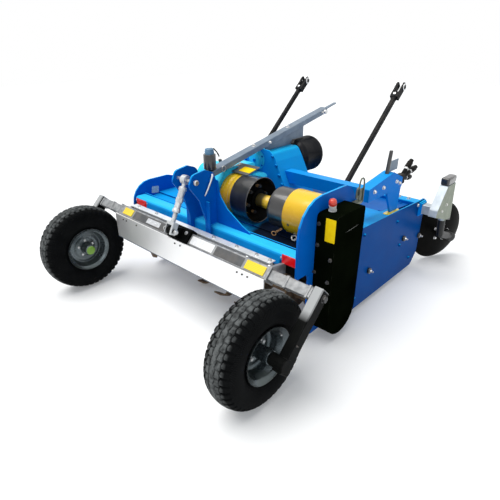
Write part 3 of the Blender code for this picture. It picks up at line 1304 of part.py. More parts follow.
def hitch_arm(side, sign):
    """A lower link arm: an eye on the deck pin, a square bar and a clevis at the head."""
    reach = HITCH_RUN.length
    half = HITCH_BAR / 2
    place = Matrix.Translation((sign * HITCH_X, HITCH_BASE_Y, HITCH_BASE_Z)) @ turn_to(HITCH_RUN)

    def local_box(name, xs, ys, zs, material, edge=0.0):
        obj = box(name, xs, ys, zs, material, edge, 1)
        obj.matrix_world = place @ Matrix.Translation(obj.location)
        return obj

    arm = local_box("hitch_arm_" + side, (-half, half), (-half, half), (0.020, reach - 0.040), BLACK, 0.004)
    fuse(arm, local_box("clevis_" + side, (-0.024, 0.024), (-0.017, 0.017), (reach - 0.085, reach + 0.020),
                        None))
    ends = [(sign * HITCH_X + end, HITCH_BASE_Y, HITCH_BASE_Z) for end in (-half, half)]
    fuse(arm, rod("hitch_eye_" + side, ends[0], ends[1], 0.021, None, 16))
    cut(arm, local_box("clevis_slot_" + side, (-0.013, 0.013), (-0.03, 0.03), (reach - 0.050, reach + 0.03),
                       None))
    head = place @ Vector((0, 0, reach))
    cut(arm, rod("clevis_hole_" + side, head - Vector((0.05, 0, 0)), head + Vector((0.05, 0, 0)),
                 HITCH_PIN / 2, None, 20))
    bore = [(sign * HITCH_X + end, HITCH_BASE_Y, HITCH_BASE_Z) for end in (-0.05, 0.05)]
    cut(arm, rod("hitch_bore_" + side, bore[0], bore[1], HITCH_PIN / 2 + RUNNING, None, 20))
    settle(arm)
    return rehang(arm, (sign * HITCH_X, HITCH_BASE_Y, HITCH_BASE_Z))


for side, sign in SIDES:
    hitch_arm(side, sign)


# Top link channel, its pin and the document tube

def link_top(y):
    """The height of the channel's upper face."""
    return LINK_TOP_Z + LINK_SLOPE * (y - CROSS_Y)


def sloped(name, rear, front, drop_top, drop_bottom, half, material):
    return plate(name, [
        (rear, link_top(rear) - drop_bottom, 0.0), (front, link_top(front) - drop_bottom, 0.0),
        (front, link_top(front) - drop_top, 0.0), (rear, link_top(rear) - drop_top, 0.0)],
        "X", -half, half, material)


half_link = LINK_WIDTH / 2
channel = sloped("top_link_channel", LINK_REAR_Y - 0.014, LINK_FRONT_Y, 0.0, LINK_HEIGHT, half_link, ZINC)
bevel(channel, 0.002, 1, 60)
cut(channel, sloped("channel_hollow", LINK_REAR_Y - 0.05, LINK_FRONT_Y + 0.05, LINK_SHEET, LINK_HEIGHT + 0.01,
                    half_link - LINK_SHEET, None))
web_rear = GEARBOX_REAR + 0.030
web_front = GEARBOX_FRONT + 0.115
fuse(channel, plate("link_web", [
    (web_rear, GEARBOX_TOP + GAP, 0.0), (GEARBOX_FRONT - 0.002, GEARBOX_TOP + GAP, 0.0),
    (BELL_START - 0.004, INPUT_Z + bell + 0.004, 0.0), (web_front, INPUT_Z + bell + 0.004, 0.0),
    (web_front, link_top(web_front) - 0.002, 0.0),
    (web_rear, link_top(web_rear) - 0.002, 0.0)], "X", -0.003, 0.003, None))
LINK_PIN_Z = link_top(LINK_REAR_Y + 0.008) - LINK_HEIGHT / 2
fuse(channel, rod("link_trunnion", (-TOWER_GAP / 2 - 0.006, LINK_REAR_Y + 0.008, LINK_PIN_Z),
                  (TOWER_GAP / 2 + 0.006, LINK_REAR_Y + 0.008, LINK_PIN_Z), LINK_BOLT / 2, None, 20))
front_pin = Vector((0, LINK_FRONT_Y - 0.030, link_top(LINK_FRONT_Y - 0.030) - LINK_HEIGHT / 2))
across = Vector((0.1, 0, 0))
cut(channel, rod("link_hole", front_pin - across, front_pin + across, LINK_BOLT / 2 + GAP, None, 20))
settle(channel)
for side in ("left", "right"):
    low_pin = Vector((0, LINK_REAR_Y + 0.008, LINK_PIN_Z))
    cut(bpy.data.objects["tower_plate_" + side],
        rod("trunnion_hole_" + side, low_pin - across, low_pin + across, LINK_BOLT / 2 + GAP, None, 20))

turned("top_link_pin", [
    (0.0, 0.040), (0.012, 0.040), (0.012, half_link + RUNNING), (LINK_BOLT / 2, half_link + RUNNING),
    (LINK_BOLT / 2, -0.040), (0.0, -0.040)], front_pin, (1, 0, 0), STEEL, 20)

document_foot = link_top(DOCUMENT_Y + DOCUMENT_RADIUS) + GAP
turned("document_tube", [
    (0.0, 0.098), (0.016, 0.098), (0.022, 0.092), (0.022, 0.060), (DOCUMENT_RADIUS - 0.003, 0.060),
    (DOCUMENT_RADIUS, 0.056), (DOCUMENT_RADIUS, 0.0), (0.0, 0.0)],
    (0, DOCUMENT_Y, document_foot), (0, 0, 1), BLACK_PLASTIC, 24)


# Origin at the middle of the footprint

def middle_y():
    """The middle between the rearmost and the foremost point of the finished parts."""
    bpy.context.view_layer.update()
    graph = bpy.context.evaluated_depsgraph_get()
    rows = []
    for obj in PARTS.objects:
        skin = obj.evaluated_get(graph)
        rows.extend((skin.matrix_world @ vertex.co).y for vertex in skin.data.vertices)
    return (min(rows) + max(rows)) / 2


footprint_y = middle_y()
for obj in bpy.data.objects:
    if obj.parent is None:
        obj.location.y -= footprint_y
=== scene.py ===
"""The looks of the seedbed cultivator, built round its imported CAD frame."""
from math import atan2, cos, hypot, pi, radians, sin

import bmesh
import bpy
from mathutils import Matrix, Vector, noise


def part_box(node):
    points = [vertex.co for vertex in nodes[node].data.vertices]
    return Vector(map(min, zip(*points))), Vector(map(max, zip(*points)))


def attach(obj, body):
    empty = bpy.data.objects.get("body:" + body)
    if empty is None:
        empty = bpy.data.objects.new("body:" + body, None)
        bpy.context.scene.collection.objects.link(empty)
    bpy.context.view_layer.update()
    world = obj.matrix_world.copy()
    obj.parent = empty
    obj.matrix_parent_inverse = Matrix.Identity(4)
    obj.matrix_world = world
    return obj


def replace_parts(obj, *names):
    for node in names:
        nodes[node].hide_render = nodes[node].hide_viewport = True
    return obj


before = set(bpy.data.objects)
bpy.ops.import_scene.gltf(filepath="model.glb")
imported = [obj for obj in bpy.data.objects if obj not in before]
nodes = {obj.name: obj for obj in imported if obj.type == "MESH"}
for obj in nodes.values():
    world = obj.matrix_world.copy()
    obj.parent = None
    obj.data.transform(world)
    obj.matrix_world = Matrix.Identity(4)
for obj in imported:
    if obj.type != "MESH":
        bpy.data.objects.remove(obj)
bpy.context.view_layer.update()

# The pieces below are laid out, like the machine, from the ground under the wheels' axle line. The
# frame's origin is further forward, at the middle of the footprint, so each piece is set back.
wheel_low, wheel_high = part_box("wheel_rim_left")
axle_back = Vector((0, (wheel_low.y + wheel_high.y) / 2, 0))

# The view of the photograph: a camera held at chest height behind the machine's right rear corner,
# looking forward and down across the seedbed rotor, and turned very slightly about its own line.
scene = bpy.context.scene
eye = Vector((1.5105, -0.9434, 1.2730)) + axle_back
heading, dip, roll = radians(43.12), radians(26.1), radians(-0.15)
gaze = Vector((-sin(heading) * cos(dip), cos(heading) * cos(dip), -sin(dip)))
lens = bpy.data.cameras.new("photo_view")
lens.sensor_width = 36.0
lens.lens = 30.59
lens.clip_start = 0.05
photo_view = bpy.data.objects.new("photo_view", lens)
photo_view.matrix_world = (Matrix.Translation(eye) @ gaze.to_track_quat("-Z", "Y").to_matrix().to_4x4()
                           @ Matrix.Rotation(roll, 4, "Z"))
scene.collection.objects.link(photo_view)
scene.camera = photo_view
scene.view_settings.view_transform = "Standard"

# The studio: a pale floor that keeps the machine's shadow, a white surround, one broad lamp high on
# the left like the open sky of the photograph, and a weaker one from the camera's side.


def maths(tree, operation, first, second=None, clamp=False):
    """One step of arithmetic in a node tree, on sockets or plain numbers."""
    step = tree.nodes.new("ShaderNodeMath")
    step.operation = operation
    step.use_clamp = clamp
    for socket, value in zip(step.inputs, (first, second)):
        if value is None:
            continue
        if isinstance(value, (int, float)):
            socket.default_value = value
        else:
            tree.links.new(value, socket)
    return step.outputs[0]


world = bpy.data.worlds.new("white_surround")
world.use_nodes = True
scene.world = world
sky = world.node_tree
sky.nodes.clear()
sky_out = sky.nodes.new("ShaderNodeOutputWorld")
sky_mix = sky.nodes.new("ShaderNodeMixShader")
for slot, colour, strength in ((1, (0.86, 0.93, 1.0, 1.0), 0.42), (2, (1.0, 1.0, 1.0, 1.0), 1.0)):
    glow = sky.nodes.new("ShaderNodeBackground")
    glow.inputs["Color"].default_value = colour
    glow.inputs["Strength"].default_value = strength
    sky.links.new(glow.outputs[0], sky_mix.inputs[slot])
ray = sky.nodes.new("ShaderNodeLightPath")
seen = maths(sky, "MAXIMUM", ray.outputs["Is Camera Ray"], ray.outputs["Is Glossy Ray"])
seen = maths(sky, "MAXIMUM", seen, ray.outputs["Is Transmission Ray"])
sky.links.new(seen, sky_mix.inputs[0])
sky.links.new(sky_mix.outputs[0], sky_out.inputs["Surface"])

floor_half = 14.0
floor_level = -0.002
floor_mesh = bpy.data.meshes.new("studio_floor")
floor_mesh.from_pydata([(floor_half * x, floor_half * y, floor_level)
                        for x, y in ((-1, -1), (1, -1), (1, 1), (-1, 1))], [], [(0, 1, 2, 3)])
studio_floor = bpy.data.objects.new("studio_floor", floor_mesh)
scene.collection.objects.link(studio_floor)
floor_paint = bpy.data.materials.new("studio_floor")
floor_paint.use_nodes = True
tree = floor_paint.node_tree
tree.nodes.clear()
floor_out = tree.nodes.new("ShaderNodeOutputMaterial")
floor_matt = tree.nodes.new("ShaderNodeBsdfDiffuse")
floor_matt.inputs["Color"].default_value = (0.84, 0.84, 0.84, 1.0)
floor_glow = tree.nodes.new("ShaderNodeEmission")
ray = tree.nodes.new("ShaderNodeLightPath")
seen = maths(tree, "MAXIMUM", ray.outputs["Is Camera Ray"], ray.outputs["Is Glossy Ray"])
tree.links.new(maths(tree, "MULTIPLY", seen, 0.15), floor_glow.inputs["Strength"])
floor_sum = tree.nodes.new("ShaderNodeAddShader")
tree.links.new(floor_matt.outputs[0], floor_sum.inputs[0])
tree.links.new(floor_glow.outputs[0], floor_sum.inputs[1])
tree.links.new(floor_sum.outputs[0], floor_out.inputs["Surface"])
floor_mesh.materials.append(floor_paint)

open_sky = bpy.data.lights.new("open_sky", "SUN")
open_sky.energy = 2.9
open_sky.angle = radians(52)
open_sky.color = (1.0, 0.985, 0.96)
sky_holder = bpy.data.objects.new("open_sky", open_sky)
sky_holder.rotation_euler = Vector((0.24, 0.26, -1.0)).to_track_quat("-Z", "Y").to_euler()
scene.collection.objects.link(sky_holder)
side_lamp = bpy.data.lights.new("camera_side_lamp", "AREA")
side_lamp.shape = "DISK"
side_lamp.size = 2.4
side_lamp.energy = 22
side_lamp.color = (0.95, 0.97, 1.0)
side_holder = bpy.data.objects.new("camera_side_lamp", side_lamp)
side_holder.location = Vector((3.2, -2.6, 3.0)) + axle_back
side_holder.rotation_euler = Vector((-3.0, 3.0, -2.7)).to_track_quat("-Z", "Y").to_euler()
scene.collection.objects.link(side_holder)

# Blue enamel on the folded sheets and plates of the frame: side plates, frame tube, hood, deck and front
# panels. Sprayed and baked, glossy, with a fine orange peel, a little dust and chipped edges. The front
# panels take a darker copy of it as painted shade, the frame tube a brighter copy as painted light.


def socketed_group(name, inputs, outputs):
    """An empty shader group with float inputs and the outputs given as (name, type) pairs."""
    group = bpy.data.node_groups.new(name, "ShaderNodeTree")
    for label, start in inputs:
        socket = group.interface.new_socket(label, in_out="INPUT", socket_type="NodeSocketFloat")
        socket.default_value = start
    for label, kind in outputs:
        group.interface.new_socket(label, in_out="OUTPUT", socket_type=kind)
    return group, group.nodes.new("NodeGroupInput"), group.nodes.new("NodeGroupOutput")


def noise_in(group, scale, detail=4.0, roughness=0.55, stretch=None):
    """A noise texture on object coordinates inside a node tree, returning its value output."""
    place = group.nodes.new("ShaderNodeTexCoord")
    texture = group.nodes.new("ShaderNodeTexNoise")
    texture.inputs["Scale"].default_value = scale
    texture.inputs["Detail"].default_value = detail
    texture.inputs["Roughness"].default_value = roughness
    if stretch:
        mapping = group.nodes.new("ShaderNodeMapping")
        mapping.inputs["Scale"].default_value = stretch
        group.links.new(place.outputs["Object"], mapping.inputs["Vector"])
        group.links.new(mapping.outputs["Vector"], texture.inputs["Vector"])
    else:
        group.links.new(place.outputs["Object"], texture.inputs["Vector"])
    return texture.outputs["Fac"]


def between(tree, value, low, high):
    """Stretch the range low to high of a value to 0 to 1."""
    step = tree.nodes.new("ShaderNodeMapRange")
    tree.links.new(value, step.inputs["Value"])
    step.inputs["From Min"].default_value = low
    step.inputs["From Max"].default_value = high
    return step.outputs["Result"]


def axes_of(tree, source, output):
    """A place or a normal taken apart: its X, Y and Z sockets by name."""
    given = tree.nodes.new(source)
    parts = tree.nodes.new("ShaderNodeSeparateXYZ")
    tree.links.new(given.outputs[output], parts.inputs[0])
    return parts.outputs


edge_wear, wear_in, wear_out = socketed_group("edge_wear", [("Width", 0.002), ("Amount", 1.0)],
                                              [("Mask", "NodeSocketFloat")])
rounded_edge = edge_wear.nodes.new("ShaderNodeBevel")
rounded_edge.samples = 4
edge_wear.links.new(wear_in.outputs["Width"], rounded_edge.inputs["Radius"])
true_face = edge_wear.nodes.new("ShaderNodeNewGeometry")
facing = edge_wear.nodes.new("ShaderNodeVectorMath")
facing.operation = "DOT_PRODUCT"
edge_wear.links.new(rounded_edge.outputs["Normal"], facing.inputs[0])
edge_wear.links.new(true_face.outputs["Normal"], facing.inputs[1])
rubbed = maths(edge_wear, "SUBTRACT", 1.0, facing.outputs["Value"])
rubbed = between(edge_wear, rubbed, 0.05, 0.22)
patches = between(edge_wear, noise_in(edge_wear, 38.0, 5.0), 0.46, 0.62)
rubbed = maths(edge_wear, "MULTIPLY", rubbed, patches)
rubbed = maths(edge_wear, "MULTIPLY", rubbed, wear_in.outputs["Amount"], clamp=True)
edge_wear.links.new(rubbed, wear_out.inputs["Mask"])

field_dust, dust_in, dust_out = socketed_group("field_dust", [("Amount", 0.3), ("Low Line", 0.0)],
                                               [("Mask", "NodeSocketFloat")])
lie = axes_of(field_dust, "ShaderNodeNewGeometry", "Normal")
flat_top = between(field_dust, lie["Z"], 0.2, 1.0)
blown = between(field_dust, noise_in(field_dust, 14.0, 6.0, 0.65), 0.42, 0.68)
dusty = maths(field_dust, "MULTIPLY", maths(field_dust, "ADD", flat_top, 0.25), blown)
height = axes_of(field_dust, "ShaderNodeNewGeometry", "Position")
splashed = field_dust.nodes.new("ShaderNodeMapRange")
field_dust.links.new(height["Z"], splashed.inputs["Value"])
field_dust.links.new(dust_in.outputs["Low Line"], splashed.inputs["From Min"])
splashed.inputs["From Max"].default_value = 0.0
splash_spots = between(field_dust, noise_in(field_dust, 55.0, 6.0, 0.7), 0.44, 0.60)
splash = maths(field_dust, "MULTIPLY", splashed.outputs["Result"], splash_spots, clamp=True)
dusty = maths(field_dust, "MAXIMUM", dusty, splash)
dusty = maths(field_dust, "MULTIPLY", dusty, dust_in.outputs["Amount"], clamp=True)
field_dust.links.new(dusty, dust_out.inputs["Mask"])

skin_grain, grain_in, grain_out = socketed_group(
    "skin_grain", [("Scale", 300.0), ("Patch Scale", 6.0)],
    [("Height", "NodeSocketFloat"), ("Patches", "NodeSocketFloat")])
grain_place = skin_grain.nodes.new("ShaderNodeTexCoord")
for label, target, detail in (("Scale", "Height", 2.0), ("Patch Scale", "Patches", 5.0)):
    texture = skin_grain.nodes.new("ShaderNodeTexNoise")
    texture.inputs["Detail"].default_value = detail
    skin_grain.links.new(grain_place.outputs["Object"], texture.inputs["Vector"])
    skin_grain.links.new(grain_in.outputs[label], texture.inputs["Scale"])
    skin_grain.links.new(texture.outputs["Fac"], grain_out.inputs[target])


def place_group(tree, group, **values):
    """Set one of the shared groups into a material, with that material's own values."""
    step = tree.nodes.new("ShaderNodeGroup")
    step.node_tree = group
    for label, value in values.items():
        step.inputs[label.replace("_", " ")].default_value = value
    return step


def mixed(tree, mask, first, second):
    """Mix two colours by a mask. Each colour is a socket or a plain triple."""
    step = tree.nodes.new("ShaderNodeMix")
    step.data_type = "RGBA"
    tree.links.new(mask, step.inputs["Factor"])
    for socket, colour in ((step.inputs["A"], first), (step.inputs["B"], second)):
        if isinstance(colour, tuple):
            socket.default_value = (*colour, 1.0)
        else:
            tree.links.new(colour, socket)
    return step.outputs["Result"]


def finish_of(name, colour, faded, worn, roughness, metallic=0.0, coat=0.0, grain=300.0, bump=0.05,
              wear=0.6, wear_width=0.002, dust=0.15, low_line=0.10, dust_colour=(0.30, 0.24, 0.18),
              patch=6.0, soften=0.0015, specular=0.5, painted_sky_light=None):
    """A painted, moulded or plated finish with patchy colour, worn edges, dust and a fine grain, and, where a
    sky colour is given, painted sky light that brightens the faces looking up.
    """
    material = bpy.data.materials.new(name)
    material.use_nodes = True
    tree = material.node_tree
    shader = tree.nodes["Principled BSDF"]
    shader.inputs["Metallic"].default_value = metallic
    shader.inputs["Coat Weight"].default_value = coat
    shader.inputs["Coat Roughness"].default_value = 0.08
    shader.inputs["Specular IOR Level"].default_value = specular
    surface = place_group(tree, skin_grain, Scale=grain, Patch_Scale=patch)
    patches = between(tree, surface.outputs["Patches"], 0.35, 0.68)
    base = mixed(tree, patches, colour, faded)
    # Painted light: faces that look up are mixed towards the brighter sky colour.
    if painted_sky_light:
        skyward = axes_of(tree, "ShaderNodeNewGeometry", "Normal")
        base = mixed(tree, between(tree, skyward["Z"], 0.15, 0.85), base, painted_sky_light)
    rubbed = place_group(tree, edge_wear, Width=wear_width, Amount=wear)
    base = mixed(tree, rubbed.outputs["Mask"], base, worn)
    dusty = place_group(tree, field_dust, Amount=dust, Low_Line=low_line)
    base = mixed(tree, dusty.outputs["Mask"], base, dust_colour)
    tree.links.new(base, shader.inputs["Base Color"])
    rough = maths(tree, "MULTIPLY", surface.outputs["Patches"], 0.16)
    rough = maths(tree, "ADD", rough, roughness - 0.08)
    rough = maths(tree, "ADD", rough, maths(tree, "MULTIPLY", dusty.outputs["Mask"], 0.4), clamp=True)
    tree.links.new(rough, shader.inputs["Roughness"])
    relief = tree.nodes.new("ShaderNodeBump")
    relief.inputs["Strength"].default_value = bump
    relief.inputs["Distance"].default_value = 0.001
    tree.links.new(surface.outputs["Height"], relief.inputs["Height"])
    if soften:
        soft = tree.nodes.new("ShaderNodeBevel")
        soft.samples = 4
        soft.inputs["Radius"].default_value = soften
        tree.links.new(soft.outputs["Normal"], relief.inputs["Normal"])
    tree.links.new(relief.outputs["Normal"], shader.inputs["Normal"])
    return material


def coat_nodes(material, *names):
    """Give CAD nodes a finish in place of their plain one."""
    for name in names:
        for slot in nodes[name].material_slots:
            slot.material = material


def enamel(name, colour, faded, painted_sky_light, chipped=(0.04, 0.12, 0.28), roughness=0.30, grain=420.0, bump=0.04,
           dust=0.10, specular=0.04):
    """Blue enamel, with painted sky light that makes faces looking up brighter, and pale blue dust in its
    hollows.
    """
    return finish_of(name, colour, faded, chipped, roughness, grain=grain, bump=bump, wear=0.5, dust=dust,
                     dust_colour=(0.050, 0.120, 0.260), specular=specular, painted_sky_light=painted_sky_light)


blue_enamel = enamel("blue_enamel", (0.0, 0.112, 0.52), (0.0, 0.130, 0.58), (0.010, 0.420, 0.90))
# Painted shade: a darker copy of the blue enamel for the front panels and their bolts.
shaded_panel_enamel = enamel("shaded_panel_enamel", (0.0, 0.066, 0.30), (0.0, 0.078, 0.34), (0.006, 0.400, 0.88),
                      (0.03, 0.10, 0.22), 0.32, specular=0.02)
# Painted light: a brighter copy of the blue enamel for the frame tube.
sunlit_tube_enamel = enamel("sunlit_tube_enamel", (0.004, 0.300, 0.80), (0.006, 0.340, 0.86), (0.030, 0.560, 0.96),
                     dust=0.05, specular=0.06)
rail_enamel = enamel("rail_enamel", (0.0, 0.180, 0.68), (0.0, 0.205, 0.74), (0.008, 0.330, 0.84), dust=0.08)
coat_nodes(blue_enamel, "side_plate_left", "side_plate_right", "front_tube", "tower_plate_left",
           "tower_plate_right", "rear_deflector")
coat_nodes(shaded_panel_enamel, "front_panel_left", "front_panel_right")
coat_nodes(sunlit_tube_enamel, "frame_tube")
coat_nodes(rail_enamel, "support_rail")


def shaped(name, body_mesh, material, body, smooth=38.0, bevel=0.0, segments=2):
    """Turn a bmesh into a piece of the machine, smooth by angle, riding on a body."""
    mesh = bpy.data.meshes.new(name)
    bmesh.ops.recalc_face_normals(body_mesh, faces=body_mesh.faces)
    body_mesh.to_mesh(mesh)
    body_mesh.free()
    piece = bpy.data.objects.new(name, mesh)
    scene.collection.objects.link(piece)
    mesh.materials.append(material)
    if bevel:
        edges = piece.modifiers.new("bevel", "BEVEL")
        edges.width = bevel
        edges.segments = segments
        edges.limit_method = "ANGLE"
        edges.angle_limit = radians(35)
    mesh.shade_smooth()
    mesh.set_sharp_from_angle(angle=radians(smooth))
    piece.location = axle_back
    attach(piece, body)
    return piece


def aimed(centre, axis):
    """The placement that turns Z to an axis at a centre."""
    return Matrix.Translation(Vector(centre)) @ Vector((0, 0, 1)).rotation_difference(
        Vector(axis).normalized()).to_matrix().to_4x4()


def add_lathe(work, profile, place, steps=72):
    """Spin a profile of (radius, height) points round Z and place it; a zero radius closes an end."""
    rings = []
    for radius, height in profile:
        if radius <= 1e-6:
            rings.append([work.verts.new(place @ Vector((0, 0, height)))])
            continue
        turns = [2 * pi * i / steps for i in range(steps)]
        rings.append([work.verts.new(place @ Vector((radius * cos(turn), radius * sin(turn), height)))
                      for turn in turns])
    for first, second in zip(rings, rings[1:]):
        for i in range(steps):
            j = (i + 1) % steps
            if len(first) == 1 and len(second) == 1:
                continue
            if len(first) == 1:
                work.faces.new((first[0], second[i], second[j]))
            elif len(second) == 1:
                work.faces.new((first[i], second[0], first[j]))
            else:
                work.faces.new((first[i], second[i], second[j], first[j]))
    return rings


def close_lathe(work, profile, place, steps=72):
    """Spin a closed section, such as a sleeve's, joining its last ring to its first."""
    rings = add_lathe(work, profile, place, steps)
    for i in range(steps):
        j = (i + 1) % steps
        work.faces.new((rings[-1][i], rings[0][i], rings[0][j], rings[-1][j]))


def add_bolt(work, seat, axis, across=0.017, head=0.008, washer=0.0, turn=0.0):
    """A hexagon bolt head with a domed washer face, standing on a surface point."""
    place = aimed(seat, axis) @ Matrix.Rotation(turn, 4, "Z")
    base = 0.0
    if washer:
        add_lathe(work, [(0.0, -0.001), (washer, -0.001), (washer, 0.0012), (washer - 0.001, 0.002),
                         (0.0, 0.002)], place, 24)
        base = 0.002
    radius = across / 2 / cos(pi / 6)
    add_lathe(work, [(0.0, base - 0.001), (radius, base - 0.001), (radius, base + head * 0.82),
                     (radius * 0.88, base + head), (0.0, base + head)], place, 6)


def add_bolts(work, seats, axis, *size):
    """Like bolts on several seats, all facing one way, with add_bolt's across, head and washer."""
    for seat in seats:
        add_bolt(work, seat, axis, *size)


def add_box(work, low, high, place=Matrix.Identity(4)):
    """A box between two corners, placed."""
    corners = [Vector((x, y, z)) for x in (low[0], high[0]) for y in (low[1], high[1])
               for z in (low[2], high[2])]
    points = [work.verts.new(place @ corner) for corner in corners]
    for face in ((0, 1, 3, 2), (4, 6, 7, 5), (0, 4, 5, 1), (2, 3, 7, 6), (0, 2, 6, 4), (1, 5, 7, 3)):
        work.faces.new([points[i] for i in face])


def laid_out(name):
    """A CAD node's low corner, high corner and middle, measured from the wheels' axle line."""
    low, high = (corner - axle_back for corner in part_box(name))
    return low, high, (low + high) / 2


bright_zinc = finish_of("bright_zinc_bolts", (0.60, 0.61, 0.60), (0.70, 0.70, 0.67), (0.45, 0.42, 0.36),
                        0.34, metallic=0.9, grain=900.0, wear=0.3, dust=0.2, soften=0.0006)
plate_face = laid_out("side_plate_right")[1].x
work = bmesh.new()
for side, size, seats in ((-1, (0.019, 0.009, 0.014), ((0.720, 0.300), (0.735, 0.120), (0.470, 0.100))),
                          (1, (0.019, 0.009, 0.014), ((0.745, 0.580), (0.735, 0.120))),
                          (1, (0.017, 0.008, 0.013), ((0.735, 0.300), (0.735, 0.400)))):
    add_bolts(work, [(side * plate_face, y, z) for y, z in seats], (side, 0, 0), *size)
shaped("side_plate_bolts", work, bright_zinc, "frame", bevel=0.0004)

# The red reflectors on the rear face of the frame tube: moulded acrylic with a fine prism pattern on
# a thin backing, held by small screws beside them near the ends of the tube.


def stained(material, mask, stain):
    """Lay a second colour over a finish's own where the mask is white."""
    tree = material.node_tree
    shown = tree.nodes["Principled BSDF"].inputs["Base Color"]
    tree.links.new(mixed(tree, mask, shown.links[0].from_socket, stain), shown)


def prism_plastic(name, colour, deep, glow):
    """Reflector plastic: small hexagonal prisms under a clear glossy face, with a painted glow: it emits its
    own colour, though it is no lamp.
    """
    material = finish_of(name, colour, deep, deep, 0.16, coat=0.6, grain=700.0, bump=0.03, wear=0.1,
                         dust=0.12, soften=0.0008)
    tree = material.node_tree
    shader = tree.nodes["Principled BSDF"]
    spot = tree.nodes.new("ShaderNodeTexCoord")
    cells = tree.nodes.new("ShaderNodeTexVoronoi")
    cells.inputs["Scale"].default_value = 210.0
    cells.inputs["Randomness"].default_value = 0.0
    tree.links.new(spot.outputs["Object"], cells.inputs["Vector"])
    # Painted glow: the plastic emits its own base colour.
    tree.links.new(shader.inputs["Base Color"].links[0].from_socket, shader.inputs["Emission Color"])
    shader.inputs["Emission Strength"].default_value = glow
    stained(material, between(tree, cells.outputs["Distance"], 0.25, 0.62), deep)
    return material


red_prisms = prism_plastic("red_reflector", (0.82, 0.010, 0.012), (0.55, 0.0, 0.004), 0.25)
tube_face = laid_out("frame_tube")[0].y
work = bmesh.new()
for low_x, high_x, low_z, high_z in ((-0.568, -0.476, 0.4265, 0.4640), (0.515, 0.589, 0.4270, 0.4700)):
    add_box(work, (low_x, tube_face - 0.0045, low_z), (high_x, tube_face + 0.0005, high_z))
shaped("rear_reflectors", work, red_prisms, "frame", bevel=0.0022, segments=3)
work = bmesh.new()
for x in (-0.574, -0.4695, 0.5085):
    add_lathe(work, [(0.0, -0.002), (0.0042, -0.002), (0.0042, 0.0012), (0.003, 0.0024), (0.0, 0.0028)],
              aimed((x, tube_face, 0.451), (0, -1, 0)), 20)
shaped("reflector_screws", work, bright_zinc, "frame")

# The rotor hood and deck seen between the guards: the same blue sheet in a darker copy of its enamel, as
# painted shade, and darker still under the shaft guards on the right, where painted shade is mixed with oil
# and soil dust.
shaded_hood_blue = enamel("shaded_hood_blue", (0.0, 0.090, 0.42), (0.002, 0.105, 0.46), (0.004, 0.340, 0.80),
                   (0.06, 0.12, 0.22), 0.36, bump=0.05, dust=0.15)
tree = shaded_hood_blue.node_tree
spot = axes_of(tree, "ShaderNodeTexCoord", "Object")
# Painted shade mixed with oil: the hood is painted near-black on the right, behind the gearbox, under the
# shaft guards.
shade_and_oil_end = laid_out("main_gearbox")[0].y - 0.020
shade_and_oil = maths(tree, "ADD", spot["X"], maths(tree, "MULTIPLY", noise_in(tree, 9.0), 0.10))
shade_and_oil = maths(tree, "MULTIPLY", between(tree, shade_and_oil, 0.20, 0.28),
             maths(tree, "LESS_THAN", spot["Y"], shade_and_oil_end + axle_back.y), clamp=True)
stained(shaded_hood_blue, shade_and_oil, (0.006, 0.010, 0.022))
coat_nodes(shaded_hood_blue, "rotor_hood", "front_deck")

# The hoe rotor: forged hoes bolted to flanges on a tube, bare and earth-worn, with rust in the
# hollows and polish along the blades. Two bolts hold each hoe to its flange.
earth_steel = finish_of("earth_worn_steel", (0.10, 0.062, 0.035), (0.22, 0.15, 0.09), (0.40, 0.37, 0.32),
                        0.58, metallic=0.55, grain=240.0, bump=0.4, wear=0.9, wear_width=0.003, dust=0.75,
                        dust_colour=(0.17, 0.11, 0.065), patch=22.0)
coat_nodes(earth_steel, "hoe_rotor")
rotor_line = laid_out("hoe_rotor")[2]
hoe_half, end_inset, hoe_spacing, bolt_circle = 0.576, 0.093, radians(15), 0.082
flange_step = 2 * (hoe_half - end_inset) / 5
work = bmesh.new()
for number in range(6):
    flange_x = hoe_half - end_inset - flange_step * number
    for count in range(4):
        side = 1 if count % 2 else -1
        angle = pi / 2 * count + hoe_spacing * number + radians(35)
        for offset in (-0.16, 0.16):
            spoke = Vector((0, cos(angle + offset), sin(angle + offset))) * bolt_circle
            seat = Vector((flange_x + side * 0.0128, rotor_line.y, rotor_line.z)) + spoke
            add_bolt(work, seat, (side, 0, 0), 0.015, 0.007)
shaped("hoe_bolts", work, earth_steel, "rotor", bevel=0.0004)

# The tower: two blue plates astride the frame tube that carry the stay and the top link. Weld beads
# run along their feet. The pins are zinc plated, and the round heads above them are painted over.


def add_tube(work, points, radius, steps=12):
    """A round wire or bead along points, of one radius or of one radius for each point."""
    points = [Vector(point) for point in points]
    widths = radius if isinstance(radius, list) else [radius] * len(points)
    rings = []
    side = None
    for i, (point, width) in enumerate(zip(points, widths)):
        ahead = (points[min(i + 1, len(points) - 1)] - points[max(i - 1, 0)]).normalized()
        if side is None:
            side = ahead.orthogonal().normalized()
        side = (side - ahead * side.dot(ahead)).normalized()
        other = ahead.cross(side)
        turns = [2 * pi * k / steps for k in range(steps)]
        rings.append([work.verts.new(point + (side * cos(turn) + other * sin(turn)) * width)
                      for turn in turns])
    for first, second in zip(rings, rings[1:]):
        for k in range(steps):
            work.faces.new((first[k], first[(k + 1) % steps], second[(k + 1) % steps], second[k]))
    work.faces.new(rings[0][::-1])
    work.faces.new(rings[-1])


def add_bead(work, start, end, radius, pitch, steps=6):
    """A weld bead: overlapping ripples laid between two points."""
    start, end = Vector(start), Vector(end)
    ripples = 2 * max(2, int((end - start).length / pitch))
    add_tube(work, [start.lerp(end, i / ripples) for i in range(ripples + 1)],
             [radius * (1.0 if i % 2 else 0.82) for i in range(ripples + 1)], steps)


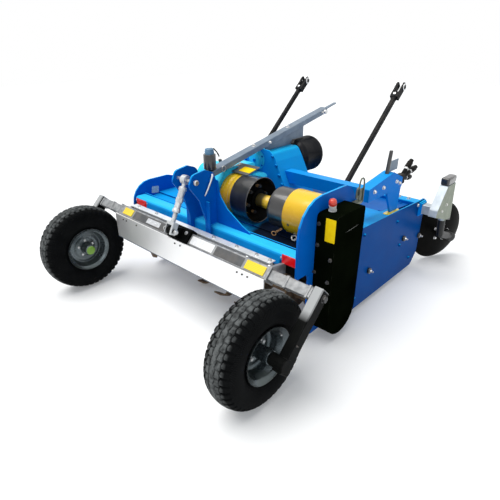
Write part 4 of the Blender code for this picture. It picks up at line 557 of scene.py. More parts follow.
work = bmesh.new()
for x in (-0.0545, -0.0655, 0.0545, 0.0655):
    add_bead(work, (x, 0.322, 0.4725), (x, 0.390, 0.4725), 0.0035, 0.006, 8)
add_bead(work, (-0.588, 0.3915, 0.4715), (0.588, 0.3915, 0.4715), 0.0028, 0.007)
shaped("weld_beads", work, blue_enamel, "frame", smooth=60)
zinc_steel = finish_of("zinc_plated_steel", (0.56, 0.57, 0.58), (0.66, 0.67, 0.67), (0.38, 0.34, 0.28), 0.30,
                       metallic=0.85, grain=800.0, bump=0.06, wear=0.4, dust=0.18, soften=0.0008)
coat_nodes(zinc_steel, "tower_pin", "top_link_pin")
work = bmesh.new()
for side in (-1, 1):
    add_lathe(work, [(0.0, 0.0), (0.0150, 0.0), (0.0150, 0.0020), (0.0135, 0.0034), (0.0, 0.0038)],
              aimed((side * 0.0655, 0.338, 0.6937), (side, 0, 0)), 32)
shaped("tower_pin_heads", work, blue_enamel, "frame")

# The pale locking pin that hangs from the tower beside the stay: a bent bar with a pointed end.
work = bmesh.new()
add_tube(work, [(0.0700, 0.340, 0.7215), (0.0740, 0.336, 0.7150), (0.0765, 0.323, 0.6930),
                (0.0765, 0.306, 0.6640), (0.0750, 0.292, 0.6410), (0.0735, 0.286, 0.6310)],
         [0.0052, 0.0054, 0.0052, 0.0050, 0.0044, 0.0020], 16)
shaped("locking_pin", work, zinc_steel, "frame")

# The adjusting stay: an eye on the tower pin, a threaded sleeve with a hexagon grip that lengthens
# or shortens it, and a forked rod on the beam clamp. Galvanised, with bright threads.
galvanised = finish_of("galvanised_steel", (0.52, 0.54, 0.56), (0.66, 0.68, 0.69), (0.78, 0.78, 0.77), 0.36,
                       metallic=0.60, grain=160.0, bump=0.06, wear=0.35, dust=0.12, patch=26.0)
coat_nodes(galvanised, "stay_fork", "stay_eye")
pin_line = laid_out("tower_pin")[2]
stay_top = Vector((0, pin_line.y, pin_line.z))
stay_foot = Vector((0, 0.130, 0.487))
stay_place = aimed(stay_top, stay_foot - stay_top)
work = bmesh.new()
close_lathe(work, [(0.0116, 0.036), (0.0150, 0.034), (0.0190, 0.038), (0.0190, 0.049), (0.0160, 0.053),
                   (0.0152, 0.058), (0.0150, 0.134), (0.0160, 0.139), (0.0190, 0.143), (0.0190, 0.154),
                   (0.0150, 0.1575), (0.0116, 0.157)], stay_place, 48)
sleeve = shaped("stay_sleeve", work, galvanised, "stay_sleeve")
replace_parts(sleeve, "stay_tube")
work = bmesh.new()
add_lathe(work, [(0.0155, 0.086), (0.0182, 0.088), (0.0182, 0.106), (0.0155, 0.108)], stay_place, 6)
shaped("stay_grip", work, galvanised, "stay_sleeve", bevel=0.0008)
work = bmesh.new()
for turn in range(9):
    height = 0.160 + 0.0042 * turn
    close_lathe(work, [(0.0098, height), (0.0112, height + 0.0014), (0.0098, height + 0.0028),
                       (0.0090, height + 0.0014)], stay_place, 32)
shaped("stay_thread", work, zinc_steel, "fork")

# The rear beam, a square tube on its corner, with the beam strip behind it: hot-dip galvanised, so
# mid grey with lighter spangles. It wears plain dark and pale bands and two yellow reflectors.
beam_zinc = finish_of("beam_galvanised", (0.200, 0.210, 0.220), (0.36, 0.37, 0.38), (0.62, 0.62, 0.60), 0.40,
                      metallic=0.35, grain=120.0, bump=0.07, wear=0.5, dust=0.15, patch=42.0, specular=0.4)
coat_nodes(beam_zinc, "rear_beam", "carrier_left", "carrier_right")
bright_strip = finish_of("bright_strip", (0.80, 0.83, 0.86), (0.90, 0.92, 0.93), (0.45, 0.45, 0.44), 0.30,
                         metallic=0.35, grain=200.0, wear=0.4, dust=0.10, patch=18.0)
coat_nodes(bright_strip, "beam_strip")

face_place = Matrix.Translation((0, 0.1917, 0.4393)) @ Matrix.Rotation(pi / 4, 4, "X")


def beam_band(name, start, end, low, high, thick, material, edge):
    """A thin plate or label lying on the beam's sloping rear face."""
    work = bmesh.new()
    add_box(work, (start, low, -0.0006), (end, high, thick), face_place)
    shaped(name, work, material, "beam", bevel=edge, segments=3)


def bare_film(name, colour, faded, worn, roughness, dust, patch):
    """A thin plastic film, left bare, scuffed at its edges."""
    return finish_of(name, colour, faded, worn, roughness, grain=500.0, bump=0.02, wear=0.5,
                     wear_width=0.001, dust=dust, patch=patch)


dark_label = bare_film("dark_label", (0.045, 0.048, 0.052), (0.070, 0.073, 0.078), (0.20, 0.20, 0.20),
                          0.38, 0.25, 30.0)
pale_label = bare_film("pale_label", (0.80, 0.81, 0.83), (0.90, 0.90, 0.91), (0.25, 0.25, 0.25),
                          0.40, 0.15, 60.0)
worn_label = bare_film("worn_label", (0.42, 0.43, 0.45), (0.74, 0.75, 0.77), (0.25, 0.25, 0.25),
                          0.40, 0.15, 210.0)
yellow_prisms = prism_plastic("yellow_reflector", (0.90, 0.72, 0.02), (0.72, 0.50, 0.0), 0.20)
beam_band("beam_band_left", -0.405, -0.085, -0.022, 0.021, 0.0008, dark_label, 0.0004)
beam_band("beam_band_right", 0.235, 0.408, -0.022, 0.021, 0.0008, dark_label, 0.0004)
beam_band("beam_band_pale", -0.285, -0.175, -0.013, 0.014, 0.0013, worn_label, 0.0003)
beam_band("beam_band_worn", 0.070, 0.222, -0.020, 0.020, 0.0008, pale_label, 0.0003)
beam_band("yellow_reflector_left", -0.500, -0.418, -0.018, 0.020, 0.0040, yellow_prisms, 0.0016)
beam_band("yellow_reflector_right", 0.424, 0.530, -0.020, 0.020, 0.0040, yellow_prisms, 0.0016)

# Bolts along the strip and the board's clamping edge, and the pressed end collars of the beam and of
# the carriers that slide in it.
on_slope = Vector((0, 1, 1)).normalized()
work = bmesh.new()
add_bolts(work, [(x, 0.262, 0.4515) for x in (-0.460, -0.300, -0.150, 0.150, 0.300, 0.420, 0.495)],
          (0, 0, 1), 0.014, 0.007, 0.0095)
add_bolts(work, [(x, 0.2300, 0.4435) for x in (-0.520, -0.505, 0.395, 0.520)], on_slope, 0.014, 0.007)
shaped("strip_bolts", work, zinc_steel, "beam", bevel=0.0004)
dark_bolts = finish_of("blackened_bolts", (0.030, 0.032, 0.034), (0.06, 0.06, 0.06), (0.30, 0.28, 0.25),
                       0.42, metallic=0.5, grain=700.0, wear=0.6, dust=0.3, soften=0.0006)
work = bmesh.new()
add_bolts(work, [(x, 0.1622, 0.4030) for x in (-0.470, -0.440, -0.345, -0.020, 0.020, 0.400, 0.430, 0.460)],
          (0, -1, 0), 0.0065, 0.0030, 0.0045)
shaped("board_bolts", work, dark_bolts, "beam", bevel=0.0003)


def add_collar(work, centre, outer, inner, side, near, far, turned=0.0):
    """A square collar along X on one side of the machine: on its corner, or turned upright."""
    corners = []
    for x in sorted((side * near, side * far)):
        for half in (outer, inner):
            for k in range(4):
                angle = pi / 2 * k + turned
                corners.append(work.verts.new((x, centre.y + half * 2 ** 0.5 * cos(angle),
                                               centre.z + half * 2 ** 0.5 * sin(angle))))
    for k in range(4):
        j = (k + 1) % 4
        work.faces.new((corners[k], corners[j], corners[8 + j], corners[8 + k]))
        work.faces.new((corners[4 + k], corners[12 + k], corners[12 + j], corners[4 + j]))
        work.faces.new((corners[k], corners[4 + k], corners[4 + j], corners[j]))
        work.faces.new((corners[8 + k], corners[8 + j], corners[12 + j], corners[12 + k]))


sides = (("left", -1), ("right", 1))
beam_line = laid_out("carrier_right")[2]
collars = bmesh.new()
for name, sign in sides:
    add_collar(collars, beam_line, 0.0318, 0.0238, sign, 0.5400, 0.5515)
shaped("beam_collars", collars, beam_zinc, "beam", bevel=0.0020)
for name, sign in sides:
    work = bmesh.new()
    add_collar(work, beam_line, 0.0262, 0.0225, sign, 0.7350, 0.7445)
    shaped("carrier_collar_" + name, work, beam_zinc, "carriage_" + name, bevel=0.0012)

# The levelling board: a bright stainless sheet with a turned lip. It mirrors the pale ground and sky,
# is brushed lengthwise, and carries dried soil near its lower edge.
board_steel = finish_of("stainless_board", (0.95, 0.96, 0.97), (0.98, 0.98, 0.98), (0.70, 0.70, 0.70), 0.37,
                        metallic=0.96, grain=900.0, bump=0.015, wear=0.2, dust=0.10, low_line=0.34,
                        dust_colour=(0.45, 0.42, 0.38), patch=3.0)
tree = board_steel.node_tree
board_shader = tree.nodes["Principled BSDF"]
brushed = noise_in(tree, 18.0, 6.0, 0.7, (0.6, 14.0, 60.0))
rough_in = board_shader.inputs["Roughness"].links[0].from_socket
tree.links.new(maths(tree, "ADD", rough_in, maths(tree, "MULTIPLY", brushed, 0.16)),
               board_shader.inputs["Roughness"])
coat_nodes(board_steel, "levelling_board")
# Painted shade: a thin dark tube along the board's lower edge stands for the shade under its turned lip.
painted_lip_shade = finish_of("painted_lip_shade_steel", (0.080, 0.105, 0.150), (0.150, 0.180, 0.230), (0.50, 0.50, 0.50),
                      0.40, metallic=0.6, grain=400.0, bump=0.05, wear=0.5, dust=0.30, patch=30.0)
work = bmesh.new()
add_tube(work, [(-0.5478, 0.1630, 0.2822), (0.5478, 0.1630, 0.2822)], 0.0030, 12)
shaped("board_lip", work, painted_lip_shade, "beam")

# The clamp that ties the stay's foot to the beam: black cast steel with a pale cross pin and bolts.
black_enamel = finish_of("black_enamel", (0.0030, 0.0034, 0.0036), (0.0058, 0.0062, 0.0060),
                         (0.12, 0.11, 0.10), 0.40, grain=380.0, bump=0.06, wear=0.4, dust=0.06,
                         specular=0.02, patch=9.0, dust_colour=(0.030, 0.030, 0.028))
coat_nodes(black_enamel, "beam_clamp", "pivot_bracket_left", "pivot_bracket_right", "torque_limiter")
work = bmesh.new()
for side in (-1, 1):
    add_lathe(work, [(0.0, 0.0), (0.0125, 0.0), (0.0125, 0.0025), (0.0095, 0.0030), (0.0095, 0.0085),
                     (0.0078, 0.0100), (0.0, 0.0100)],
              aimed((side * 0.0365, stay_foot.y, stay_foot.z), (side, 0, 0)), 28)
add_bolts(work, [(x, 0.1935, 0.4605) for x in (-0.052, 0.040)], (0, -on_slope.y, on_slope.z),
          0.017, 0.009, 0.012)
shaped("clamp_bolts", work, zinc_steel, "beam", bevel=0.0004)

# The rear wheels: 5.00-8 tyres with a ribbed crown, four zigzag grooves, staggered blocks and square
# shoulder lugs. The crown is dusty and sunlit, the walls are smooth dark rubber with fine ribs.
rubber = finish_of("tyre_rubber", (0.0030, 0.0034, 0.0038), (0.0055, 0.0060, 0.0064), (0.012, 0.012, 0.012),
                   0.55, grain=520.0, bump=0.12, wear=0.3, dust=0.05, patch=16.0, specular=0.02,
                   dust_colour=(0.06, 0.058, 0.052))
tree = rubber.node_tree
tyre_shader = tree.nodes["Principled BSDF"]
half_track = laid_out("tyre_right")[2].x
axle_height = laid_out("wheel_rim_right")[2].z


def band(tree, value, rise, fall):
    """A mask that is white between a rising edge and a falling one, each given as from and to."""
    return maths(tree, "MULTIPLY", between(tree, value, *rise),
                 maths(tree, "SUBTRACT", 1.0, between(tree, value, *fall), clamp=True), clamp=True)


spot = axes_of(tree, "ShaderNodeTexCoord", "Object")
from_axle = maths(tree, "SUBTRACT", spot["Z"], axle_height)
squares = maths(tree, "ADD", maths(tree, "MULTIPLY", from_axle, from_axle),
                maths(tree, "MULTIPLY", spot["Y"], spot["Y"]))
tyre_radius = maths(tree, "SQRT", squares)
round_it = maths(tree, "ARCTAN2", from_axle, spot["Y"])
shoulder_ribs = maths(tree, "MULTIPLY", maths(tree, "SINE", maths(tree, "MULTIPLY", round_it, 176.0)),
                      band(tree, tyre_radius, (0.181, 0.184), (0.205, 0.209)))
wall_rings = maths(tree, "MULTIPLY", maths(tree, "SINE", maths(tree, "MULTIPLY", tyre_radius, 900.0)),
                   maths(tree, "MULTIPLY", band(tree, tyre_radius, (0.128, 0.130), (0.143, 0.145)), 0.6))
tyre_bump = tree.nodes.new("ShaderNodeBump")
tyre_bump.inputs["Strength"].default_value = 0.8
tyre_bump.inputs["Distance"].default_value = 0.0012
tree.links.new(maths(tree, "ADD", shoulder_ribs, wall_rings), tyre_bump.inputs["Height"])
tree.links.new(tyre_shader.inputs["Normal"].links[0].from_socket, tyre_bump.inputs["Normal"])
tree.links.new(tyre_bump.outputs["Normal"], tyre_shader.inputs["Normal"])
# The crown is painted lighter: partly dust, partly painted sunlight and highlight on the tread.
crown_dust_and_sunlight = maths(tree, "MULTIPLY", between(tree, tyre_radius, 0.2235, 0.2305),
                between(tree, noise_in(tree, 46.0, 6.0, 0.6), 0.25, 0.60), clamp=True)
stained(rubber, crown_dust_and_sunlight, (0.125, 0.132, 0.132))

tread_lugs = 44
inner_groove, outer_groove = 0.0125, 0.0335


def tread_depth(turn, across):
    """How far the tread is cut away at a turn of the wheel and a distance from its middle line."""
    share = (turn * tread_lugs / (2 * pi)) % 1.0
    zigzag = 0.0022 * (1 - 4 * abs(share - 0.5))
    off = abs(across)
    if abs(off - inner_groove - zigzag) < 0.0019:
        return 1.0
    if off < inner_groove + zigzag:
        return 0.35 if abs(share - 0.5) < 0.07 and off > 0.0060 else 0.0
    if abs(off - outer_groove + zigzag * 0.7) < 0.0022:
        return 1.0
    if off < outer_groove - zigzag * 0.7:
        stagger = (share + 0.25) % 1.0
        return 0.8 if abs(stagger - 0.5) < 0.09 else 0.0
    if off < 0.0640:
        return 1.0 if abs(share - 0.5) > 0.33 else 0.0
    return 0.0


crown_radius = 0.2349
tyre_section = [(0.1095, 0.0450), (0.1190, 0.0485), (0.1235, 0.0530), (0.1300, 0.0575), (0.1400, 0.0625),
                (0.1520, 0.0660), (0.1640, 0.0674), (0.1760, 0.0672), (0.1860, 0.0662), (0.1940, 0.0648),
                (0.2010, 0.0634), (0.2045, 0.0626), (0.2075, 0.0619), (0.2105, 0.0610), (0.2135, 0.0597),
                (0.2163, 0.0578), (0.2188, 0.0553), (0.2207, 0.0528)]
crown_line = [0.0505, 0.0480, 0.0440, 0.0400, 0.0370, 0.0358, 0.0346, 0.0335, 0.0324, 0.0312, 0.0300,
              0.0270, 0.0230, 0.0190, 0.0165, 0.0152, 0.0140, 0.0128, 0.0116, 0.0104, 0.0090, 0.0062,
              0.0030]
half_section = tyre_section + [(crown_radius - 4.6 * v * v, v) for v in crown_line]
full_section = half_section + [(crown_radius, 0.0)] + [(r, -v) for r, v in half_section[::-1]]


def tyre(name, sign, body):
    """The whole tyre as one skin: section points swept round, with the tread cut from its crown."""
    steps = tread_lugs * 9
    tread_start, tread_fade, tread_cut = 0.2060, 0.0045, 0.0062
    work = bmesh.new()
    rings = []
    for step in range(steps):
        turn = 2 * pi * step / steps
        ring = []
        for r, v in full_section:
            fade = min(1.0, max(0.0, (r - tread_start) / tread_fade))
            radius = r - tread_depth(turn, v) * tread_cut * fade
            ring.append(work.verts.new((sign * (half_track + v), radius * cos(turn),
                                        axle_height + radius * sin(turn))))
        rings.append(ring)
    for here, ahead in zip(rings, rings[1:] + rings[:1]):
        for i in range(len(full_section) - 1):
            work.faces.new((here[i], here[i + 1], ahead[i + 1], ahead[i]))
        work.faces.new((here[-1], here[0], ahead[0], ahead[-1]))
    piece = shaped(name, work, rubber, body, smooth=32)
    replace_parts(piece, name.replace("tyre_skin", "tyre"))


tyre("tyre_skin_left", -1, "wheel_left")
tyre("tyre_skin_right", 1, "wheel_right")

# The rims: spun and welded steel discs painted silver, deeply dished, with rolled flanges, a raised
# ring round the five bolts, a valve, and a long hub closed by a lime green dust cap.
silver_rim = finish_of("silver_rim", (0.070, 0.088, 0.098), (0.125, 0.145, 0.155), (0.16, 0.13, 0.10), 0.26,
                       metallic=0.85, grain=500.0, bump=0.05, wear=0.5, dust=0.25, patch=9.0,
                       dust_colour=(0.060, 0.085, 0.030), specular=0.35)
lime_cap = finish_of("lime_dust_cap", (0.16, 0.34, 0.03), (0.22, 0.42, 0.05), (0.30, 0.32, 0.12), 0.30,
                     grain=400.0, wear=0.2, dust=0.25, soften=0.001)


def rim(name, sign, body):
    """One dished rim with its hub, its bolts, nuts and valve, and its dust cap."""
    work = bmesh.new()
    place = aimed((sign * half_track, 0, axle_height), (sign, 0, 0))
    close_lathe(work, [(0.1150, 0.0560), (0.1168, 0.0605), (0.1185, 0.0625), (0.1182, 0.0590),
                       (0.1176, 0.0560), (0.1060, 0.0500), (0.1030, 0.0440), (0.0935, 0.0220),
                       (0.0920, 0.0180), (0.0920, -0.0180), (0.0935, -0.0220), (0.1030, -0.0440),
                       (0.1060, -0.0500), (0.1176, -0.0560), (0.1182, -0.0590), (0.1185, -0.0625),
                       (0.1168, -0.0605), (0.1150, -0.0560), (0.1020, -0.0490), (0.0990, -0.0400),
                       (0.0905, -0.0200), (0.0880, -0.0160), (0.0840, -0.0150), (0.0760, -0.0190),
                       (0.0660, -0.0205), (0.0580, -0.0170), (0.0500, -0.0190), (0.0430, -0.0230),
                       (0.0320, -0.0240), (0.0298, -0.0300), (0.0290, -0.0380), (0.0290, -0.0720),
                       (0.0280, -0.0760), (0.0245, -0.0790), (0.0161, -0.0795), (0.0161, 0.0705),
                       (0.0245, 0.0710), (0.0280, 0.0690), (0.0290, 0.0650), (0.0290, -0.0080),
                       (0.0300, -0.0130), (0.0340, -0.0150), (0.0430, -0.0145), (0.0500, -0.0110),
                       (0.0580, -0.0085), (0.0660, -0.0120), (0.0760, -0.0110), (0.0830, -0.0070),
                       (0.0865, -0.0060), (0.0885, -0.0010), (0.0890, 0.0180), (0.0905, 0.0220),
                       (0.0990, 0.0420), (0.1020, 0.0490)], place, 96)
    piece = shaped(name, work, silver_rim, body, smooth=42)
    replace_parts(piece, name.replace("rim_skin", "wheel_rim"))
    work = bmesh.new()
    for number in range(5):
        angle = 2 * pi * number / 5 + 0.3
        on_circle = Vector((0, 0.0430 * cos(angle), axle_height + 0.0430 * sin(angle)))
        add_bolt(work, on_circle + Vector((sign * 0.6515, 0, 0)), (sign, 0, 0), 0.015, 0.008, 0.010)
        add_lathe(work, [(0.0, 0.0), (0.0072, 0.0), (0.0072, 0.004), (0.0050, 0.0060), (0.0, 0.0062)],
                  aimed(on_circle + Vector((sign * 0.6395, 0, 0)), (-sign, 0, 0)), 18)
    add_tube(work, [(sign * 0.7060, 0.078, 0.292), (sign * 0.7130, 0.076, 0.291),
                    (sign * 0.7190, 0.0735, 0.289)], [0.0036, 0.0034, 0.0038], 14)
    shaped(name.replace("rim_skin", "rim_fittings"), work, zinc_steel, body, bevel=0.0003)
    work = bmesh.new()
    add_lathe(work, [(0.0165, -0.0740), (0.0245, -0.0745), (0.0245, -0.0790), (0.0232, -0.0815),
                     (0.0215, -0.0835), (0.0130, -0.0842), (0.0, -0.0842)], place, 48)
    shaped(name.replace("rim_skin", "dust_cap"), work, lime_cap, body)


rim("rim_skin_left", -1, "wheel_left")
rim("rim_skin_right", 1, "wheel_right")

# The trailing arms: black flat bars, their upward faces painted light grey near the top as painted sunlight.
# Each carries a domed cap over the axle's end, a greaser and the nut on the carrier's end.
arm_black = finish_of("arm_black", (0.0035, 0.0040, 0.0040), (0.0065, 0.0070, 0.0065), (0.20, 0.20, 0.19),
                      0.40, grain=380.0, bump=0.08, wear=0.5, dust=0.06, specular=0.02, patch=9.0,
                      dust_colour=(0.030, 0.030, 0.028))
tree = arm_black.node_tree
lie = axes_of(tree, "ShaderNodeNewGeometry", "Normal")
spot = axes_of(tree, "ShaderNodeTexCoord", "Object")
# Painted sunlight: the upward faces of the arms' upper parts are painted light grey.
painted_sunlit_top = maths(tree, "MULTIPLY", between(tree, lie["Z"], 0.15, 0.75),
                 between(tree, spot["Z"], 0.362, 0.392), clamp=True)
stained(arm_black, painted_sunlit_top, (0.46, 0.47, 0.47))
coat_nodes(arm_black, "wheel_arm_left", "wheel_arm_right")
cap_seat, fitting_seat = 0.7983, 0.7982
for name, sign in sides:
    work = bmesh.new()
    add_lathe(work, [(0.0, -0.001), (0.0265, -0.001), (0.0285, 0.0015), (0.0265, 0.0040), (0.0, 0.0040)],
              aimed((sign * cap_seat, 0, axle_height), (sign, 0, 0)), 40)
    shaped("arm_boss_" + name, work, black_enamel, "carriage_" + name)
    work = bmesh.new()
    add_bolt(work, (sign * fitting_seat, 0.213, 0.418), (sign, 0, 0), 0.024, 0.0105, 0.0165)
    add_lathe(work, [(0.0, 0.0), (0.0040, 0.0), (0.0040, 0.003), (0.0022, 0.0042), (0.0026, 0.0070),
                     (0.0014, 0.0086), (0.0, 0.0088)],
              aimed((sign * fitting_seat, 0.060, 0.290), (sign, 0, 0)), 16)
    shaped("arm_fittings_" + name, work, dark_bolts, "carriage_" + name, bevel=0.0005)

# The guards over the cross shaft: amber shells overlapped by shiny black ones, moulded with rolled
# lips and rounded shoulders. A clamp groove runs round the left shell, the tops are lightly scuffed.
# Painted light and shade: the amber is darker where its faces look down and brighter where they look up.
amber_shell = finish_of("amber_shell", (0.54, 0.285, 0.004), (0.62, 0.340, 0.006), (0.86, 0.66, 0.20), 0.26,
                        coat=0.30, grain=260.0, bump=0.04, wear=0.4, dust=0.10, patch=7.0, specular=0.3,
                        dust_colour=(0.42, 0.24, 0.01), painted_sky_light=(0.88, 0.56, 0.015))
black_shell = finish_of("black_shell", (0.010, 0.0105, 0.012), (0.017, 0.0175, 0.019), (0.08, 0.08, 0.08),
                        0.30, coat=0.75, grain=300.0, bump=0.06, wear=0.4, dust=0.05, patch=14.0)
bell_black = finish_of("bell_black", (0.0045, 0.0055, 0.0080), (0.0080, 0.0090, 0.0120), (0.08, 0.08, 0.08),
                       0.36, coat=0.10, grain=300.0, bump=0.06, wear=0.4, dust=0.05, patch=14.0,
                       specular=0.10)
shaft_y, shaft_z = laid_out("cross_shaft")[2].yz
shaft_line = aimed((0, shaft_y, shaft_z), (1, 0, 0))


def shell(name, profile, material, node):
    """A turned guard along the cross shaft. The profile is (radius, X) round the wall's section."""
    work = bmesh.new()
    close_lathe(work, profile, shaft_line, 112)
    piece = shaped(name, work, material, "frame", smooth=50)
    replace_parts(piece, node)


shell("left_shell", [(0.0215, 0.0003), (0.0995, 0.0003), (0.1015, 0.0010), (0.1025, 0.0030),
                     (0.1025, 0.0440), (0.1010, 0.0455), (0.0998, 0.0468), (0.0998, 0.0532),
                     (0.1010, 0.0545), (0.1025, 0.0560), (0.1025, 0.0835), (0.1015, 0.0848),
                     (0.0975, 0.0848), (0.0965, 0.0830), (0.0965, 0.0060), (0.0950, 0.0040),
                     (0.0215, 0.0040)], amber_shell, "left_guard")
shell("left_cone_shell", [(0.1034, 0.0795), (0.1058, 0.0790), (0.1068, 0.0798), (0.1072, 0.0830),
                          (0.1080, 0.0920), (0.1126, 0.1880), (0.1136, 0.1905), (0.1142, 0.1930),
                          (0.1136, 0.1950), (0.1120, 0.1958), (0.1105, 0.1945), (0.1098, 0.1900),
                          (0.1050, 0.0950), (0.1040, 0.0890)], black_shell, "left_guard_cone")
neck_amber = finish_of("neck_amber", (0.76, 0.46, 0.014), (0.86, 0.56, 0.020), (0.80, 0.56, 0.18), 0.34,
                       coat=0.25, grain=260.0, bump=0.05, wear=0.5, dust=0.10, patch=7.0)
tree = neck_amber.node_tree
spot = axes_of(tree, "ShaderNodeTexCoord", "Object")
# The neck's left end, inside the black cone, is painted dark: partly grease and dust, partly painted shade
# from the cone.
cone_shade_and_grease = maths(tree, "ADD", spot["X"], maths(tree, "MULTIPLY", noise_in(tree, 40.0), 0.030))
stained(neck_amber, between(tree, cone_shade_and_grease, 0.262, 0.236), (0.055, 0.042, 0.012))
shell("neck_shell", [(0.0240, 0.1830), (0.0330, 0.1830), (0.0330, 0.2400), (0.0318, 0.2460),
                     (0.0290, 0.2520), (0.0283, 0.2560), (0.0283, 0.3440), (0.0276, 0.3450),
                     (0.0240, 0.3450)], neck_amber, "shaft_guard_tube")
# Painted shade: the flange at the neck's left end is given black enamel for the shade inside the cone's
# mouth.
work = bmesh.new()
close_lathe(work, [(0.0240, 0.1752), (0.0500, 0.1752), (0.0510, 0.1765), (0.0510, 0.1800), (0.0495, 0.1818),
                   (0.0360, 0.1835), (0.0240, 0.1835)], shaft_line, 72)
shaped("neck_flange", work, black_enamel, "frame", smooth=50)
shell("right_bell_shell", [(0.0290, 0.3050), (0.0800, 0.3052), (0.0875, 0.3062), (0.0925, 0.3090),
                           (0.0958, 0.3140), (0.0972, 0.3200), (0.0975, 0.3280), (0.0975, 0.4190),
                           (0.0945, 0.4190), (0.0945, 0.3230), (0.0930, 0.3160), (0.0885, 0.3105),
                           (0.0800, 0.3086), (0.0290, 0.3084)], black_shell, "right_guard_bell")
shell("right_shell", [(0.0981, 0.4050), (0.1008, 0.4051), (0.1030, 0.4060), (0.1044, 0.4080),
                      (0.1050, 0.4110), (0.1050, 0.5897), (0.1020, 0.5897), (0.1020, 0.4100),
                      (0.1012, 0.4085), (0.0981, 0.4082)], amber_shell, "right_guard")

# On the right shell: a dark screw in its side, and a short rusty chain with a hook that holds the
# shell to the hood. Beside it stands a zinc eye on the hood.
rusty = finish_of("rusty_chain", (0.30, 0.155, 0.055), (0.42, 0.24, 0.10), (0.55, 0.42, 0.28), 0.55,
                  metallic=0.4, grain=260.0, bump=0.3, wear=0.6, dust=0.3, patch=60.0, soften=0.0006)
work = bmesh.new()
add_lathe(work, [(0.0, -0.004), (0.0062, -0.004), (0.0062, 0.0012), (0.0046, 0.0026), (0.0020, 0.0026),
                 (0.0016, 0.0012), (0.0, 0.0012)], aimed((0.442, 0.4442, 0.543), (0, -0.96, -0.28)), 24)
shaped("shell_screw", work, dark_bolts, "frame")


def add_ring(work, centre, facing, radius, thick, stretch=1.0, steps=28):
    """A ring or chain link of round wire; stretch lengthens it along its own X."""
    place = aimed(centre, facing)
    turns = [2 * pi * i / steps for i in range(steps)]
    points = [place @ Vector((radius * stretch * cos(turn), radius * sin(turn), 0)) for turn in turns]
    wire_turns = [2 * pi * k / 10 for k in range(10)]
    rings = []
    for i, point in enumerate(points):
        ahead = (points[(i + 1) % steps] - points[i - 1]).normalized()
        out = (point - Vector(centre)).normalized()
        out = (out - ahead * out.dot(ahead)).normalized()
        other = ahead.cross(out)
        rings.append([work.verts.new(point + (out * cos(turn) + other * sin(turn)) * thick)
                      for turn in wire_turns])
    for first, second in zip(rings, rings[1:] + rings[:1]):
        for k in range(10):
            work.faces.new((first[k], first[(k + 1) % 10], second[(k + 1) % 10], second[k]))


work = bmesh.new()
chain_start = Vector((0.398, 0.4610, 0.508))
chain_stop = Vector((0.374, 0.4380, 0.487))
for i in range(5):
    centre = chain_start.lerp(chain_stop, (i + 0.5) / 5)
    add_ring(work, centre, (0.4, -0.7, 0.6) if i % 2 else (0.7, 0.3, 0.6), 0.0034, 0.0011, 1.3, 16)
add_ring(work, chain_stop + Vector((-0.004, -0.003, -0.004)), (0.55, -0.6, 0.58), 0.0085, 0.0019, 1.25)
shaped("shell_chain", work, rusty, "frame")
work = bmesh.new()
add_ring(work, (0.445, 0.492, 0.4635), (0.45, -0.60, 0.66), 0.0118, 0.0042)
add_lathe(work, [(0.0, -0.012), (0.0085, -0.012), (0.0085, -0.004), (0.0060, 0.001), (0.0, 0.001)],
          aimed((0.445, 0.500, 0.4570), (0, 0.2, 1)), 20)
shaped("hood_eye", work, bright_zinc, "frame")

# The torque limiter inside the left cone: black discs with a ring of spring bolts, their springs
# rusted. It turns with the cross shaft, which is bright steel like the sprockets in the chain case.
steel_shaft = finish_of("bright_shaft_steel", (0.42, 0.41, 0.39), (0.56, 0.55, 0.53), (0.62, 0.61, 0.60),
                        0.30, metallic=0.95, grain=500.0, bump=0.06, wear=0.3, dust=0.22, patch=24.0,
                        dust_colour=(0.16, 0.11, 0.06))
coat_nodes(steel_shaft, "cross_shaft", "drive_sprocket", "driven_sprocket")
bolts = bmesh.new()
springs = bmesh.new()
for count in range(6):
    angle = 2 * pi * count / 6 + 0.25
    seat = Vector((0, shaft_y + 0.0645 * cos(angle), shaft_z + 0.0645 * sin(angle)))
    add_bolt(bolts, seat + Vector((0.1655, 0, 0)), (1, 0, 0), 0.013, 0.007, 0.0088)
    add_lathe(bolts, [(0.0, 0.1440), (0.0035, 0.1440), (0.0035, 0.1665), (0.0, 0.1665)],
              aimed(seat, (1, 0, 0)), 12)
    add_tube(springs, [seat + Vector((0.1468 + 0.0175 * i / 48, 0.0068 * cos(i * pi / 6),
                                      0.0068 * sin(i * pi / 6))) for i in range(49)], 0.0013, 6)
shaped("limiter_bolts", bolts, dark_bolts, "cross_drive", bevel=0.0003)
shaped("limiter_springs", springs, rusty, "cross_drive")

# The main gearbox: a cast blue housing with a bolted rear cover and a round cap over the lower
# bearing, all sprayed together after assembly, so that its bolt heads are painted over.
# Painted light: brighter copies of the blue enamel for the gearbox, its cover and the front tube's collars,
# and a brighter one still for the cap and the transfer case.
sunlit_blue = enamel("sunlit_blue_enamel", (0.001, 0.240, 0.78), (0.004, 0.270, 0.84), (0.012, 0.50, 0.94),
                     (0.06, 0.13, 0.26), 0.34, grain=300.0, bump=0.10, dust=0.08)
sunlit_cap_blue = enamel("sunlit_cap_enamel", (0.020, 0.50, 0.90), (0.030, 0.56, 0.93), (0.06, 0.72, 0.97),
                  (0.10, 0.18, 0.28), grain=300.0, bump=0.08, dust=0.06, specular=0.10)
coat_nodes(sunlit_blue, "main_gearbox")
coat_nodes(sunlit_cap_blue, "gearbox_cap", "transfer_case")


def add_slab(work, outline, place, low, high):
    """A flat plate: its outline as (u, v) points, placed so that Z runs through its thickness."""
    under = [work.verts.new(place @ Vector((u, v, low))) for u, v in outline]
    over = [work.verts.new(place @ Vector((u, v, high))) for u, v in outline]
    work.faces.new(under[::-1])
    work.faces.new(over)
    for i in range(len(outline)):
        j = (i + 1) % len(outline)
        work.faces.new((under[i], under[j], over[j], over[i]))


